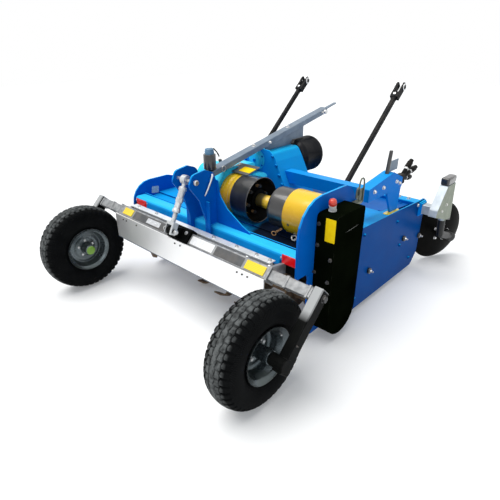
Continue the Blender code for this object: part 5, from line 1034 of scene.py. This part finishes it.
def arcs(corners, segments=5):
    """An outline of (u, v, radius) corners with each corner rounded by its radius."""
    outline = []
    for i, (u, v, radius) in enumerate(corners):
        here = Vector((u, v))
        back = (Vector(corners[i - 1][:2]) - here).normalized()
        ahead = (Vector(corners[(i + 1) % len(corners)][:2]) - here).normalized()
        half = back.angle(ahead) / 2
        centre = here + (back + ahead).normalized() * (radius / sin(half))
        first = here + back * (radius / (sin(half) / cos(half))) - centre
        last = here + ahead * (radius / (sin(half) / cos(half))) - centre
        sweep = atan2(first.x * last.y - first.y * last.x, first.dot(last))
        outline += [tuple(centre + Matrix.Rotation(sweep * step / segments, 2) @ first)
                    for step in range(segments + 1)]
    return outline


def rounded(low_u, low_v, high_u, high_v, radius):
    """A rectangular outline with rounded corners."""
    return arcs([(low_u, low_v, radius), (high_u, low_v, radius), (high_u, high_v, radius),
                 (low_u, high_v, radius)])


def rear_on(y):
    """The placement of an outline drawn as (X, Z) on a face that looks rearwards."""
    return Matrix(((1, 0, 0, 0), (0, 0, -1, y), (0, 1, 0, 0), (0, 0, 0, 1)))


def side_on(x, facing):
    """The placement of an outline drawn as (Y, Z) on a face that looks along X, or against it."""
    return Matrix(((0, 0, facing, x), (1, 0, 0, 0), (0, 1, 0, 0), (0, 0, 0, 1)))


cap_line = laid_out("gearbox_cap")[2]
input_line = laid_out("input_shaft")[2]
work = bmesh.new()
add_slab(work, arcs([(-0.186, 0.500, 0.010), (0.186, 0.500, 0.010), (0.172, 0.592, 0.030),
                     (0.136, 0.655, 0.040), (0.098, 0.732, 0.030), (0.062, 0.762, 0.020),
                     (-0.062, 0.762, 0.030), (-0.112, 0.712, 0.040), (-0.160, 0.592, 0.030)]),
         rear_on(laid_out("main_gearbox")[0].y), 0.0, 0.0060)
shaped("gearbox_cover", work, sunlit_blue, "frame", bevel=0.0022, segments=3)
work = bmesh.new()
add_bolts(work, [(x, 0.754, z) for x, z in (
    (0.085, 0.733), (0.112, 0.690), (0.133, 0.640), (0.155, 0.596), (0.170, 0.545), (-0.105, 0.690),
    (-0.142, 0.610), (-0.165, 0.545))], (0, -1, 0), 0.013, 0.006, 0.0085)
for count in range(6):
    angle = 2 * pi * count / 6 + 0.5
    seat = (cap_line.x + 0.0495 * cos(angle), 0.7518, cap_line.z + 0.0495 * sin(angle))
    add_bolt(work, seat, (0, -1, 0), 0.010, 0.005)
add_bolt(work, (cap_line.x, 0.7358, cap_line.z), (0, -1, 0), 0.017, 0.006)
add_bolts(work, [(0.1785, y, 0.4800) for y in (0.800, 0.850, 0.900, 0.950, 0.990)], (1, 0, 0),
          0.015, 0.006, 0.0105)
shaped("gearbox_bolts", work, blue_enamel, "frame", bevel=0.0004)
work = bmesh.new()
for count in range(8):
    angle = 2 * pi * count / 8 + 0.2
    seat = (0.052 * cos(angle), 1.0105, input_line.z + 0.052 * sin(angle))
    add_bolt(work, seat, (0, 1, 0), 0.010, 0.004)
shaped("input_collar_bolts", work, zinc_steel, "frame", bevel=0.0003)

# The transfer case beside it: a cover plate with screws on its left face, an oil plug and a breather.
case_face = laid_out("transfer_case")[0].x
work = bmesh.new()
add_slab(work, arcs([(0.470, 0.490, 0.020), (0.625, 0.490, 0.020), (0.632, 0.640, 0.040),
                     (0.580, 0.676, 0.030), (0.508, 0.672, 0.030), (0.462, 0.620, 0.040)]),
         side_on(case_face, -1), -0.001, 0.0065)
shaped("transfer_cover", work, blue_enamel, "frame", bevel=0.0018)
work = bmesh.new()
add_bolts(work, [(case_face - 0.0064, y, z) for y, z in (
    (0.478, 0.500), (0.547, 0.498), (0.617, 0.500), (0.626, 0.570), (0.618, 0.640), (0.572, 0.664),
    (0.514, 0.660), (0.472, 0.612), (0.470, 0.555))], (-1, 0, 0), 0.010, 0.0045)
add_bolt(work, (case_face - 0.0064, 0.545, 0.572), (-1, 0, 0), 0.019, 0.007, 0.0125)
shaped("transfer_screws", work, zinc_steel, "frame", bevel=0.0003)
work = bmesh.new()
add_lathe(work, [(0.0, -0.004), (0.0090, -0.004), (0.0090, 0.004), (0.0060, 0.006), (0.0060, 0.012),
                 (0.0100, 0.014), (0.0100, 0.021), (0.0070, 0.024), (0.0, 0.0245)],
          aimed((-0.110, 0.560, 0.6990), (0, 0, 1)), 28)
shaped("case_breather", work, dark_bolts, "frame")

# The grey plate over the left guard, a folded sheet fixed to the top link, with a bare yellow label.
link_zinc = finish_of("link_zinc", (0.150, 0.205, 0.275), (0.215, 0.275, 0.345), (0.46, 0.49, 0.52), 0.40,
                      metallic=0.30, grain=180.0, bump=0.07, wear=0.6, dust=0.10, patch=20.0, specular=0.4)
shield_grey = finish_of("shield_grey", (0.085, 0.090, 0.095), (0.120, 0.125, 0.130), (0.40, 0.40, 0.39), 0.42,
                        metallic=0.30, grain=240.0, bump=0.06, wear=0.6, dust=0.20, patch=18.0)
bare_yellow = finish_of("bare_yellow_label", (0.94, 0.62, 0.0), (0.97, 0.70, 0.004), (0.50, 0.38, 0.08),
                        0.42, grain=600.0, bump=0.02, wear=0.4, wear_width=0.0008, dust=0.08, patch=44.0,
                        specular=0.1, dust_colour=(0.60, 0.42, 0.05))
plate_slope = Matrix.Translation((0.041, 0.578, 0.6925)) @ Matrix.Rotation(radians(12), 4, "X")
work = bmesh.new()
add_slab(work, arcs([(-0.071, -0.046, 0.004), (0.071, -0.046, 0.008), (0.071, 0.052, 0.008),
                     (-0.071, 0.052, 0.004)]), plate_slope, 0.0, 0.0028)
add_box(work, (-0.0705, -0.020, -0.016), (-0.0675, 0.020, 0.001), plate_slope)
shaped("guard_plate", work, shield_grey, "frame", bevel=0.0006)
work = bmesh.new()
add_slab(work, rounded(-0.010, -0.026, 0.066, 0.024, 0.003), plate_slope, 0.0026, 0.0034)
shaped("guard_plate_label", work, bare_yellow, "frame")
work = bmesh.new()
add_bolts(work, [plate_slope @ Vector((-0.055, v, 0.0026)) for v in (-0.030, 0.036)],
          plate_slope.to_3x3() @ Vector((0, 0, 1)), 0.013, 0.006, 0.009)
shaped("guard_plate_bolts", work, bright_zinc, "frame", bevel=0.0003)

# The guard over the PTO stub, a smooth black bell on the gearbox collar, and the splined shaft in it.
bell_low, bell_high, bell_middle = laid_out("pto_guard")
back, mouth = bell_low.y, bell_high.y
work = bmesh.new()
close_lathe(work, [
    (0.0606, back), (0.0780, back), (0.0840, back + 0.0020), (0.0900, back + 0.0085),
    (0.0975, back + 0.0200), (0.1005, back + 0.0270), (0.1015, back + 0.0350), (0.1015, mouth - 0.0200),
    (0.1030, mouth - 0.0180), (0.1030, mouth - 0.0060), (0.1022, mouth - 0.0015), (0.1005, mouth),
    (0.0985, mouth - 0.0012), (0.0978, mouth - 0.0060), (0.0978, back + 0.0360), (0.0965, back + 0.0290),
    (0.0930, back + 0.0220), (0.0850, back + 0.0110), (0.0790, back + 0.0050), (0.0606, back + 0.0042)],
    aimed((0, 0, bell_middle.z), (0, 1, 0)), 96)
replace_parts(shaped("pto_bell", work, bell_black, "frame", smooth=50), "pto_guard")
spline_low, spline_high = laid_out("input_shaft")[:2]
spline_radius = (spline_high.x - spline_low.x) / 2
tip = spline_high.y
around = 72
work = bmesh.new()
rings = []
for along, scale, cut_away in ((spline_low.y, 1.0, 0), (tip - 0.075, 1.0, 0), (tip - 0.070, 1.0, 1),
                               (tip - 0.041, 1.0, 1), (tip - 0.038, 0.88, 1), (tip - 0.031, 0.88, 1),
                               (tip - 0.028, 1.0, 1), (tip - 0.004, 1.0, 1), (tip, 0.86, 1)):
    ring = []
    for i in range(around):
        valley = cut_away and 3 <= i % 12 <= 8
        radius = spline_radius * min(scale, 0.84 if valley else 1.0)
        turn = 2 * pi * i / around
        ring.append(work.verts.new((radius * cos(turn), along, bell_middle.z + radius * sin(turn))))
    rings.append(ring)
for first, second in zip(rings, rings[1:]):
    for i in range(around):
        j = (i + 1) % around
        work.faces.new((first[i], first[j], second[j], second[i]))
work.faces.new(rings[0])
work.faces.new(rings[-1][::-1])
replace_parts(shaped("splined_shaft", work, steel_shaft, "input", smooth=30, bevel=0.0003), "input_shaft")

# The top link: a zinc channel from the tower to its front pin, with a thin tongue, screws and a ring
# beside the document tube. The tube is black with a blue-grey cap and a small lever.
coat_nodes(link_zinc, "top_link_channel")
link_rise = 0.2106


def link_top(y):
    """The height of the channel's upper face, which rises forwards."""
    return 0.752 + link_rise * (y - shaft_y)


work = bmesh.new()
link_slope = Matrix.Translation((0, 1.322, link_top(1.322))) @ Matrix.Rotation(atan2(link_rise, 1.0), 4, "X")
add_slab(work, arcs([(-0.011, -0.030, 0.003), (0.011, -0.030, 0.003), (0.010, 0.128, 0.008),
                     (-0.010, 0.128, 0.008)]), link_slope, -0.0150, -0.0080)
add_box(work, (-0.0212, -0.036, -0.0262), (0.0212, -0.030, -0.0042), link_slope)
shaped("link_tongue", work, link_zinc, "frame", bevel=0.0010)
work = bmesh.new()
add_bolts(work, [(0.0, y, link_top(y)) for y in (0.420, 0.700, 0.980)], (0, -0.206, 0.978),
          0.016, 0.007, 0.0115)
add_bolts(work, [(0.0250, y, link_top(y) - 0.015) for y in (0.350, 0.800, 1.280)], (1, 0, 0),
          0.014, 0.006, 0.0095)
shaped("link_bolts", work, zinc_steel, "frame", bevel=0.0004)
work = bmesh.new()
close_lathe(work, [(0.0120, -0.0010), (0.0150, -0.0010), (0.0150, 0.0030), (0.0120, 0.0030)],
            aimed((0.026, 0.455, 0.7180), (1, 0, 0)), 24)
shaped("link_ring", work, bright_zinc, "frame")
can_low, can_middle = laid_out("document_tube")[::2]
tube_foot = Matrix.Translation((0, can_middle.y, can_low.z))
work = bmesh.new()
add_lathe(work, [(0.0, 0.0), (0.0285, 0.0), (0.0300, 0.0015), (0.0300, 0.0680), (0.0292, 0.0705),
                 (0.0270, 0.0718), (0.0, 0.0720)], tube_foot, 56)
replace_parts(shaped("document_can", work, black_shell, "frame"), "document_tube")
cap_grey_blue = finish_of("grey_blue_cap", (0.075, 0.20, 0.34), (0.11, 0.26, 0.42), (0.40, 0.45, 0.50), 0.38,
                          grain=320.0, wear=0.5, dust=0.20, patch=24.0)
work = bmesh.new()
add_lathe(work, [(0.0, 0.0700), (0.0210, 0.0700), (0.0225, 0.0715), (0.0225, 0.0850), (0.0205, 0.0870),
                 (0.0205, 0.0905), (0.0215, 0.0920), (0.0180, 0.0965), (0.0, 0.0975)], tube_foot, 48)
shaped("document_cap", work, cap_grey_blue, "frame")
work = bmesh.new()
add_tube(work, [(0.0, 0.400, 0.8215), (0.004, 0.415, 0.8185), (0.008, 0.430, 0.8020), (0.010, 0.440, 0.7840),
                (0.010, 0.443, 0.7770)], [0.0036, 0.0034, 0.0032, 0.0036, 0.0028], 12)
shaped("document_lever", work, dark_bolts, "frame")

# The chain case: a pressed black case with a lid flange, cover screws on its rear face, a bare yellow
# label and a long scratch on the outer side. The filler stands on top, red on a white neck.
case_black = finish_of("chain_case_black", (0.0012, 0.0020, 0.0009), (0.0030, 0.0046, 0.0020),
                       (0.07, 0.07, 0.06), 0.46, grain=260.0, bump=0.08, wear=0.5, dust=0.04, specular=0.0,
                       patch=5.0, dust_colour=(0.020, 0.024, 0.012))
coat_nodes(case_black, "chain_case")
case_low, case_high = laid_out("chain_case")[:2]
work = bmesh.new()
add_bolts(work, [(x, case_low.y, z) for x, z in (
    (0.612, 0.504), (0.680, 0.453), (0.605, 0.372), (0.676, 0.345), (0.629, 0.157), (0.612, 0.600))],
    (0, -1, 0), 0.013, 0.006, 0.0095)
shaped("case_bolts", work, dark_bolts, "frame", bevel=0.0004)
work = bmesh.new()
add_slab(work, rounded(0.6450, 0.532, 0.6930, 0.634, 0.003), rear_on(case_low.y), -0.0004, 0.0006)
shaped("case_label", work, bare_yellow, "frame")
work = bmesh.new()
add_tube(work, [(case_high.x - 0.0003, 0.511, 0.5600), (case_high.x + 0.0001, 0.540, 0.5612),
                (case_high.x + 0.0001, 0.575, 0.5632), (case_high.x - 0.0003, 0.615, 0.5655)],
         [0.0004, 0.0011, 0.0009, 0.0003], 6)
scratch_grey = finish_of("scratch_grey", (0.16, 0.165, 0.155), (0.24, 0.24, 0.23), (0.4, 0.4, 0.4), 0.5,
                         metallic=0.4, grain=900.0, bump=0.2, wear=0.1, dust=0.1, patch=160.0, soften=0.0)
shaped("case_scratch", work, scratch_grey, "frame")
plug_middle = laid_out("filler_plug")[2]
plug_line = aimed((plug_middle.x, plug_middle.y, case_high.z), (0.10, -0.25, 1.0))
red_plastic = finish_of("red_plastic", (0.62, 0.030, 0.012), (0.74, 0.055, 0.025), (0.80, 0.30, 0.20), 0.34,
                        coat=0.3, grain=320.0, wear=0.5, dust=0.12, patch=30.0, soften=0.0008)
white_plastic = finish_of("white_plastic", (0.62, 0.62, 0.60), (0.72, 0.72, 0.70), (0.35, 0.33, 0.30), 0.40,
                          grain=320.0, wear=0.5, dust=0.35, patch=36.0, soften=0.0008)
work = bmesh.new()
add_lathe(work, [(0.0, 0.0300), (0.0130, 0.0300), (0.0158, 0.0318), (0.0165, 0.0350), (0.0162, 0.0460),
                 (0.0140, 0.0530), (0.0090, 0.0570), (0.0, 0.0580)], plug_line, 48)
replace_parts(shaped("filler_cap", work, red_plastic, "frame"), "filler_plug")
work = bmesh.new()
add_lathe(work, [(0.0, -0.0160), (0.0085, -0.0160), (0.0085, 0.0003), (0.0168, 0.0003), (0.0168, 0.0060),
                 (0.0150, 0.0080), (0.0150, 0.0240), (0.0162, 0.0255), (0.0162, 0.0302), (0.0, 0.0304)],
          plug_line, 40)
shaped("filler_neck", work, white_plastic, "frame")

# The drive chain in the case: plain oiled steel, worn bright along the edges of its plates.
oiled_chain = finish_of("oiled_chain", (0.055, 0.045, 0.035), (0.10, 0.085, 0.065), (0.42, 0.40, 0.37),
                        0.36, metallic=0.85, grain=700.0, bump=0.08, wear=0.8, wear_width=0.0008,
                        dust=0.1, patch=80.0, soften=0.0004)
coat_nodes(oiled_chain, "drive_chain")

# The bare sticker on the inner face of the left plate, weathered nearly white, and the yellow
# reflector that lies on the right panel's upper flange.
work = bmesh.new()
add_slab(work, arcs([(0.437, 0.458, 0.006), (0.488, 0.452, 0.006), (0.493, 0.492, 0.006),
                     (0.444, 0.498, 0.006)]), side_on(-0.590, 1), -0.0002, 0.0007)
shaped("plate_sticker", work, worn_label, "frame")
work = bmesh.new()
flange_slope = Matrix.Translation((0.618, 1.100, 0.4666)) @ Matrix.Rotation(-0.0467, 4, "X")
add_slab(work, rounded(-0.016, -0.068, 0.016, 0.068, 0.012), flange_slope, -0.0010, 0.0035)
shaped("flange_reflector", work, yellow_prisms, "frame", bevel=0.0012)

# The forming sheet in front of the deck: one blue sheet that falls from the deck's folded edge to the
# front tube, stiffened by two pressed ribs and bolted down along both of its edges.
trough_blue = enamel("trough_blue", (0.0, 0.085, 0.36), (0.0, 0.100, 0.42), (0.0, 0.125, 0.48),
                     roughness=0.36, bump=0.05, dust=0.15, specular=0.03)
sheet_slope = Matrix.Translation((0, 1.1000, 0.4440)) @ Matrix.Rotation(-atan2(0.0290, 0.3150), 4, "X")
work = bmesh.new()
add_box(work, (-0.5790, 0.0005, -0.0040), (0.5790, 0.3130, 0.0), sheet_slope)
shaped("forming_sheet", work, trough_blue, "frame", bevel=0.0008)
work = bmesh.new()
for x in (-0.330, 0.330):
    add_tube(work, [sheet_slope @ Vector((x, y, z)) for y, z in (
        (0.025, -0.002), (0.040, 0.001), (0.270, 0.001), (0.285, -0.002))],
        [0.0030, 0.0075, 0.0075, 0.0030], 16)
for x in (-0.540, -0.180, 0.180, 0.540):
    add_bolts(work, [sheet_slope @ Vector((x, y, 0.0)) for y in (0.020, 0.290)],
              sheet_slope.to_3x3() @ Vector((0, 0, 1)), 0.013, 0.006, 0.0095)
shaped("forming_sheet_ribs", work, trough_blue, "frame", smooth=45)

# Round knobs and bolts of the front panels: black knobs on zinc studs that hold the panels' slides,
# and bolt heads painted with the sheet.
panel_face = laid_out("front_panel_right")[1].x
knobs = bmesh.new()
studs = bmesh.new()
for sign in (-1, 1):
    for y, z in ((0.879, 0.211), (1.263, 0.265), (1.487, 0.211)):
        add_lathe(knobs, [(0.0, -0.0005), (0.0150, -0.0005), (0.0160, 0.0010), (0.0160, 0.0110),
                          (0.0145, 0.0130), (0.0110, 0.0140), (0.0, 0.0140)],
                  aimed((sign * panel_face, y, z), (sign, 0, 0)), 40)
        add_bolt(studs, (sign * (panel_face + 0.0138), y, z), (sign, 0, 0), 0.013, 0.0075)
        add_lathe(studs, [(0.0, 0.0), (0.0045, 0.0), (0.0045, 0.0150), (0.0035, 0.0160), (0.0, 0.0160)],
                  aimed((sign * (panel_face + 0.0140), y, z), (sign, 0, 0)), 20)
shaped("panel_knobs", knobs, black_shell, "frame")
shaped("panel_studs", studs, zinc_steel, "frame", bevel=0.0003)
work = bmesh.new()
for sign in (-1, 1):
    add_bolts(work, [(sign * panel_face, y, z) for y, z in (
        (0.760, 0.095), (1.390, 0.095), (1.150, 0.400), (0.790, 0.440), (1.225, 0.235))],
        (sign, 0, 0), 0.015, 0.0065, 0.0105)
shaped("panel_bolts", work, shaded_panel_enamel, "frame", bevel=0.0004)

# The front tube's end collars, two on each side, and the clamp screws that hold the carriers in it.
tube_line = laid_out("front_tube")[2]
work = bmesh.new()
for sign in (-1, 1):
    add_collar(work, tube_line, 0.0410, 0.0352, sign, 0.6405, 0.6500, turned=pi / 4)
    add_collar(work, tube_line, 0.0345, 0.0277, sign, 0.6465, 0.6580, turned=pi / 4)
shaped("tube_collars", work, sunlit_blue, "frame", bevel=0.0014)
work = bmesh.new()
for sign in (-1, 1):
    add_bolts(work, [(sign * x, tube_line.y, tube_line.z + 0.035) for x in (0.560, 0.500)], (0, 0, 1),
              0.017, 0.009, 0.012)
    add_bolt(work, (sign * panel_face, tube_line.y - 0.052, tube_line.z + 0.028), (sign, 0, 0),
             0.015, 0.0065, 0.0105)
shaped("tube_screws", work, zinc_steel, "frame", bevel=0.0004)

# The sliding front carriers: galvanised bar and post, their sides painted green-grey as a painted reflection,
# with rounded black plugs in the posts. The arms and discs below them are black, worn bright at the rim.
post_zinc = finish_of("post_zinc", (0.42, 0.48, 0.53), (0.56, 0.61, 0.65), (0.62, 0.64, 0.64), 0.40,
                      metallic=0.25, grain=150.0, bump=0.07, wear=0.5, dust=0.10, patch=22.0)
tree = post_zinc.node_tree
lie = axes_of(tree, "ShaderNodeNewGeometry", "Normal")
spot = axes_of(tree, "ShaderNodeNewGeometry", "Position")
# Painted reflection: the sides that face along X are painted green-grey.
painted_ground_reflection = mixed(tree, between(tree, noise_in(tree, 26.0, 5.0), 0.35, 0.65), (0.150, 0.185, 0.125),
              (0.215, 0.25, 0.18))
stained(post_zinc, between(tree, maths(tree, "ABSOLUTE", lie["X"]), 0.55, 0.95), painted_ground_reflection)
stained(post_zinc, maths(tree, "LESS_THAN", spot["Z"], 0.345), (0.006, 0.007, 0.007))
coat_nodes(post_zinc, "front_carrier_left", "front_carrier_right")
disc_black = finish_of("disc_black", (0.0025, 0.0028, 0.0028), (0.0055, 0.0055, 0.0050), (0.22, 0.21, 0.20),
                       0.44, grain=300.0, bump=0.12, wear=0.8, wear_width=0.004, dust=0.15, specular=0.03,
                       low_line=0.20, dust_colour=(0.035, 0.028, 0.020), patch=12.0)
toe_out = radians(25.0)
disc_radius = 0.190


def disc_skin(name, sign, body):
    """The dished disc, thin at its bevelled edge, with a bearing hub and its grease cap."""
    place = aimed((sign * 0.700, 1.685, disc_radius), (sign * cos(toe_out), -sin(toe_out), 0))
    rise = [(0.036 + 0.154 * i / 12, 0.004 - 0.036 * (i / 12) ** 2) for i in range(13)]
    work = bmesh.new()
    add_lathe(work, [(0.0, -0.0040), (0.0300, -0.0040)] + [(r, h - 0.0045) for r, h in rise[:-1]]
              + [(0.1865, rise[-1][1] - 0.0034), (0.1900, rise[-1][1] - 0.0012)] + rise[-2::-1]
              + [(0.0385, 0.0080), (0.0360, 0.0120), (0.0360, 0.0400), (0.0345, 0.0430), (0.0156, 0.0440),
                 (0.0156, 0.0060), (0.0, 0.0060)], place, 88)
    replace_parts(shaped(name, work, disc_black, body), name.replace("disc_skin", "disc"))
    work = bmesh.new()
    for count in range(5):
        angle = 2 * pi * count / 5
        for height, facing, head in ((0.0035, 1, 0.0075), (-0.0015, -1, 0.0085)):
            add_bolt(work, place @ Vector((0.0520 * cos(angle), 0.0520 * sin(angle), height)),
                     place.to_3x3() @ Vector((0, 0, facing)), 0.015, head, 0.0100)
    add_lathe(work, [(0.0, -0.0180), (0.0120, -0.0175), (0.0190, -0.0140), (0.0215, -0.0080),
                     (0.0215, -0.0035), (0.0, -0.0035)], place, 40)
    shaped(name.replace("disc_skin", "disc_fittings"), work, zinc_steel, body, bevel=0.0003)


disc_skin("disc_skin_left", -1, "disc_wheel_left")
disc_skin("disc_skin_right", 1, "disc_wheel_right")
for name, sign in sides:
    cap_low, cap_high = laid_out("post_cap_" + name)[:2]
    work = bmesh.new()
    add_box(work, (cap_low.x + 0.001, cap_low.y + 0.001, cap_low.z),
            (cap_high.x - 0.001, cap_high.y - 0.001, cap_high.z))
    plug = shaped("post_plug_" + name, work, black_shell, "disc_holder_" + name, bevel=0.0105, segments=5)
    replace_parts(plug, "post_cap_" + name)
    work = bmesh.new()
    add_bolts(work, [(sign * 0.780, y, z) for y, z in ((1.385, 0.430), (1.440, 0.455))], (sign, 0, 0),
              0.012, 0.005, 0.0085)
    shaped("post_bolts_" + name, work, bright_zinc, "disc_holder_" + name, bevel=0.0003)

# The support rail on the right: blue channel, with a black stalk, a pale plate beside it, and a
# latch of wire and strip at its rear end. The hose couplings hang in front of it.
work = bmesh.new()
add_tube(work, [(0.597, 1.0302, 0.668), (0.597, 1.0305, 0.680), (0.597, 1.0380, 0.740),
                (0.597, 1.0452, 0.7925), (0.597, 1.0456, 0.7960)], [0.0118, 0.0102, 0.0098, 0.0092, 0.0060],
         20)
shaped("rail_stalk_grip", work, black_shell, "frame")
work = bmesh.new()
add_slab(work, rounded(1.048, 0.688, 1.132, 0.742, 0.003), side_on(0.600, 1), -0.0015, 0.0015)
shaped("rail_plate", work, link_zinc, "frame", bevel=0.0004)
work = bmesh.new()
rail_face = laid_out("support_rail")[1].x
add_bolts(work, [(rail_face, y, 0.632) for y in (0.870, 0.960, 1.100)], (1, 0, 0), 0.015, 0.0065, 0.0105)
add_bolt(work, (rail_face, 1.140, 0.615), (1, 0, 0), 0.013, 0.006, 0.0095)
shaped("rail_bolts", work, bright_zinc, "frame", bevel=0.0004)
olive_steel = finish_of("olive_steel", (0.10, 0.115, 0.085), (0.17, 0.185, 0.145), (0.50, 0.50, 0.46), 0.45,
                        metallic=0.45, grain=300.0, bump=0.08, wear=0.6, dust=0.25, patch=50.0, soften=0.0006)
work = bmesh.new()
add_tube(work, [(0.606, 0.792, 0.600), (0.606, 0.792, 0.690), (0.606, 0.788, 0.708), (0.606, 0.778, 0.717),
                (0.606, 0.764, 0.717), (0.606, 0.755, 0.708), (0.606, 0.751, 0.690), (0.606, 0.751, 0.640)],
         0.0038, 12)
add_tube(work, [(0.618, 0.735, 0.600), (0.618, 0.735, 0.668), (0.618, 0.730, 0.682), (0.618, 0.720, 0.688),
                (0.618, 0.710, 0.682), (0.618, 0.706, 0.668), (0.618, 0.706, 0.640)], 0.0032, 12)
add_box(work, (0.6005, 0.744, 0.598), (0.6035, 0.806, 0.668))
add_box(work, (0.6005, 0.700, 0.610), (0.6280, 0.748, 0.622))
shaped("rail_latch", work, olive_steel, "frame", bevel=0.0006)
coupling_black = finish_of("coupling_black", (0.003, 0.0034, 0.0036), (0.006, 0.006, 0.006),
                           (0.18, 0.17, 0.16), 0.42, grain=380.0, bump=0.08, wear=0.6, dust=0.08,
                           specular=0.06, patch=24.0, soften=0.001)
coat_nodes(coupling_black, "hose_couplings")
hose_root = Vector((0.596, 1.200, 0.620))
sleeves = bmesh.new()
ends = bmesh.new()
for reach, rise, spread in ((0.120, 0.075, -0.004), (0.170, 0.030, 0.004), (0.140, -0.020, -0.006)):
    run = Vector((spread, reach, rise))
    place = aimed(hose_root, run)
    length = run.length
    close_lathe(sleeves, [(0.0122, length - 0.060), (0.0150, length - 0.058), (0.0158, length - 0.055),
                          (0.0158, length - 0.020), (0.0150, length - 0.017), (0.0122, length - 0.016)],
                place, 40)
    close_lathe(ends, [(0.0060, length - 0.001), (0.0115, length - 0.001), (0.0115, length + 0.0015),
                       (0.0105, length + 0.0030), (0.0060, length + 0.0030)], place, 32)
    add_lathe(ends, [(0.0122, length - 0.075), (0.0139, length - 0.074), (0.0139, length - 0.064),
                     (0.0122, length - 0.063)], place, 6)
shaped("coupling_sleeves", sleeves, coupling_black, "frame")
shaped("coupling_ends", ends, zinc_steel, "frame", bevel=0.0003)

# The lower hitch arms: black bars with pins at the deck, and clevis heads with bushes and bolts. The
# pins' heads are painted with the deck, and weld beads run along the lugs that carry them.
hitch_black = finish_of("hitch_black", (0.0045, 0.0055, 0.0070), (0.0090, 0.0100, 0.0120),
                        (0.24, 0.23, 0.22), 0.40, grain=320.0, bump=0.08, wear=0.8, dust=0.08,
                        specular=0.06, patch=16.0)
coat_nodes(hitch_black, "hitch_arm_left", "hitch_arm_right")
arm_run = Vector((0, 0.605, 0.557))
arm_reach = arm_run.length
for name, sign in sides:
    pin = Vector((sign * 0.345, 0.985, 0.478))
    place = aimed(pin, arm_run)
    work = bmesh.new()
    for side in (-1, 1):
        add_lathe(work, [(0.0118, 0.0), (0.0190, 0.0), (0.0200, 0.0010), (0.0200, 0.0030), (0.0190, 0.0040),
                         (0.0118, 0.0040)], aimed(place @ Vector((side * 0.0240, 0, arm_reach)),
                                                  (side, 0, 0)), 36)
    for side in (-1, 1):
        add_bolt(work, place @ Vector((0, side * 0.0170, arm_reach - 0.068)),
                 place.to_3x3() @ Vector((0, side, 0)), 0.015, 0.007)
    shaped("hitch_bushes_" + name, work, zinc_steel, "arm_" + name, bevel=0.0004)
    work = bmesh.new()
    for side in (-1, 1):
        add_lathe(work, [(0.0, 0.0), (0.0135, 0.0), (0.0145, 0.0012), (0.0145, 0.0040), (0.0130, 0.0055),
                         (0.0, 0.0055)], aimed(pin + Vector((side * 0.0300, 0, 0)), (side, 0, 0)), 36)
    for cheek in (-0.014, 0.024):
        add_bead(work, (pin.x + cheek, 0.943, 0.4565), (pin.x + cheek, 1.027, 0.4565), 0.0026, 0.006)
    shaped("hitch_pin_heads_" + name, work, blue_enamel, "frame")
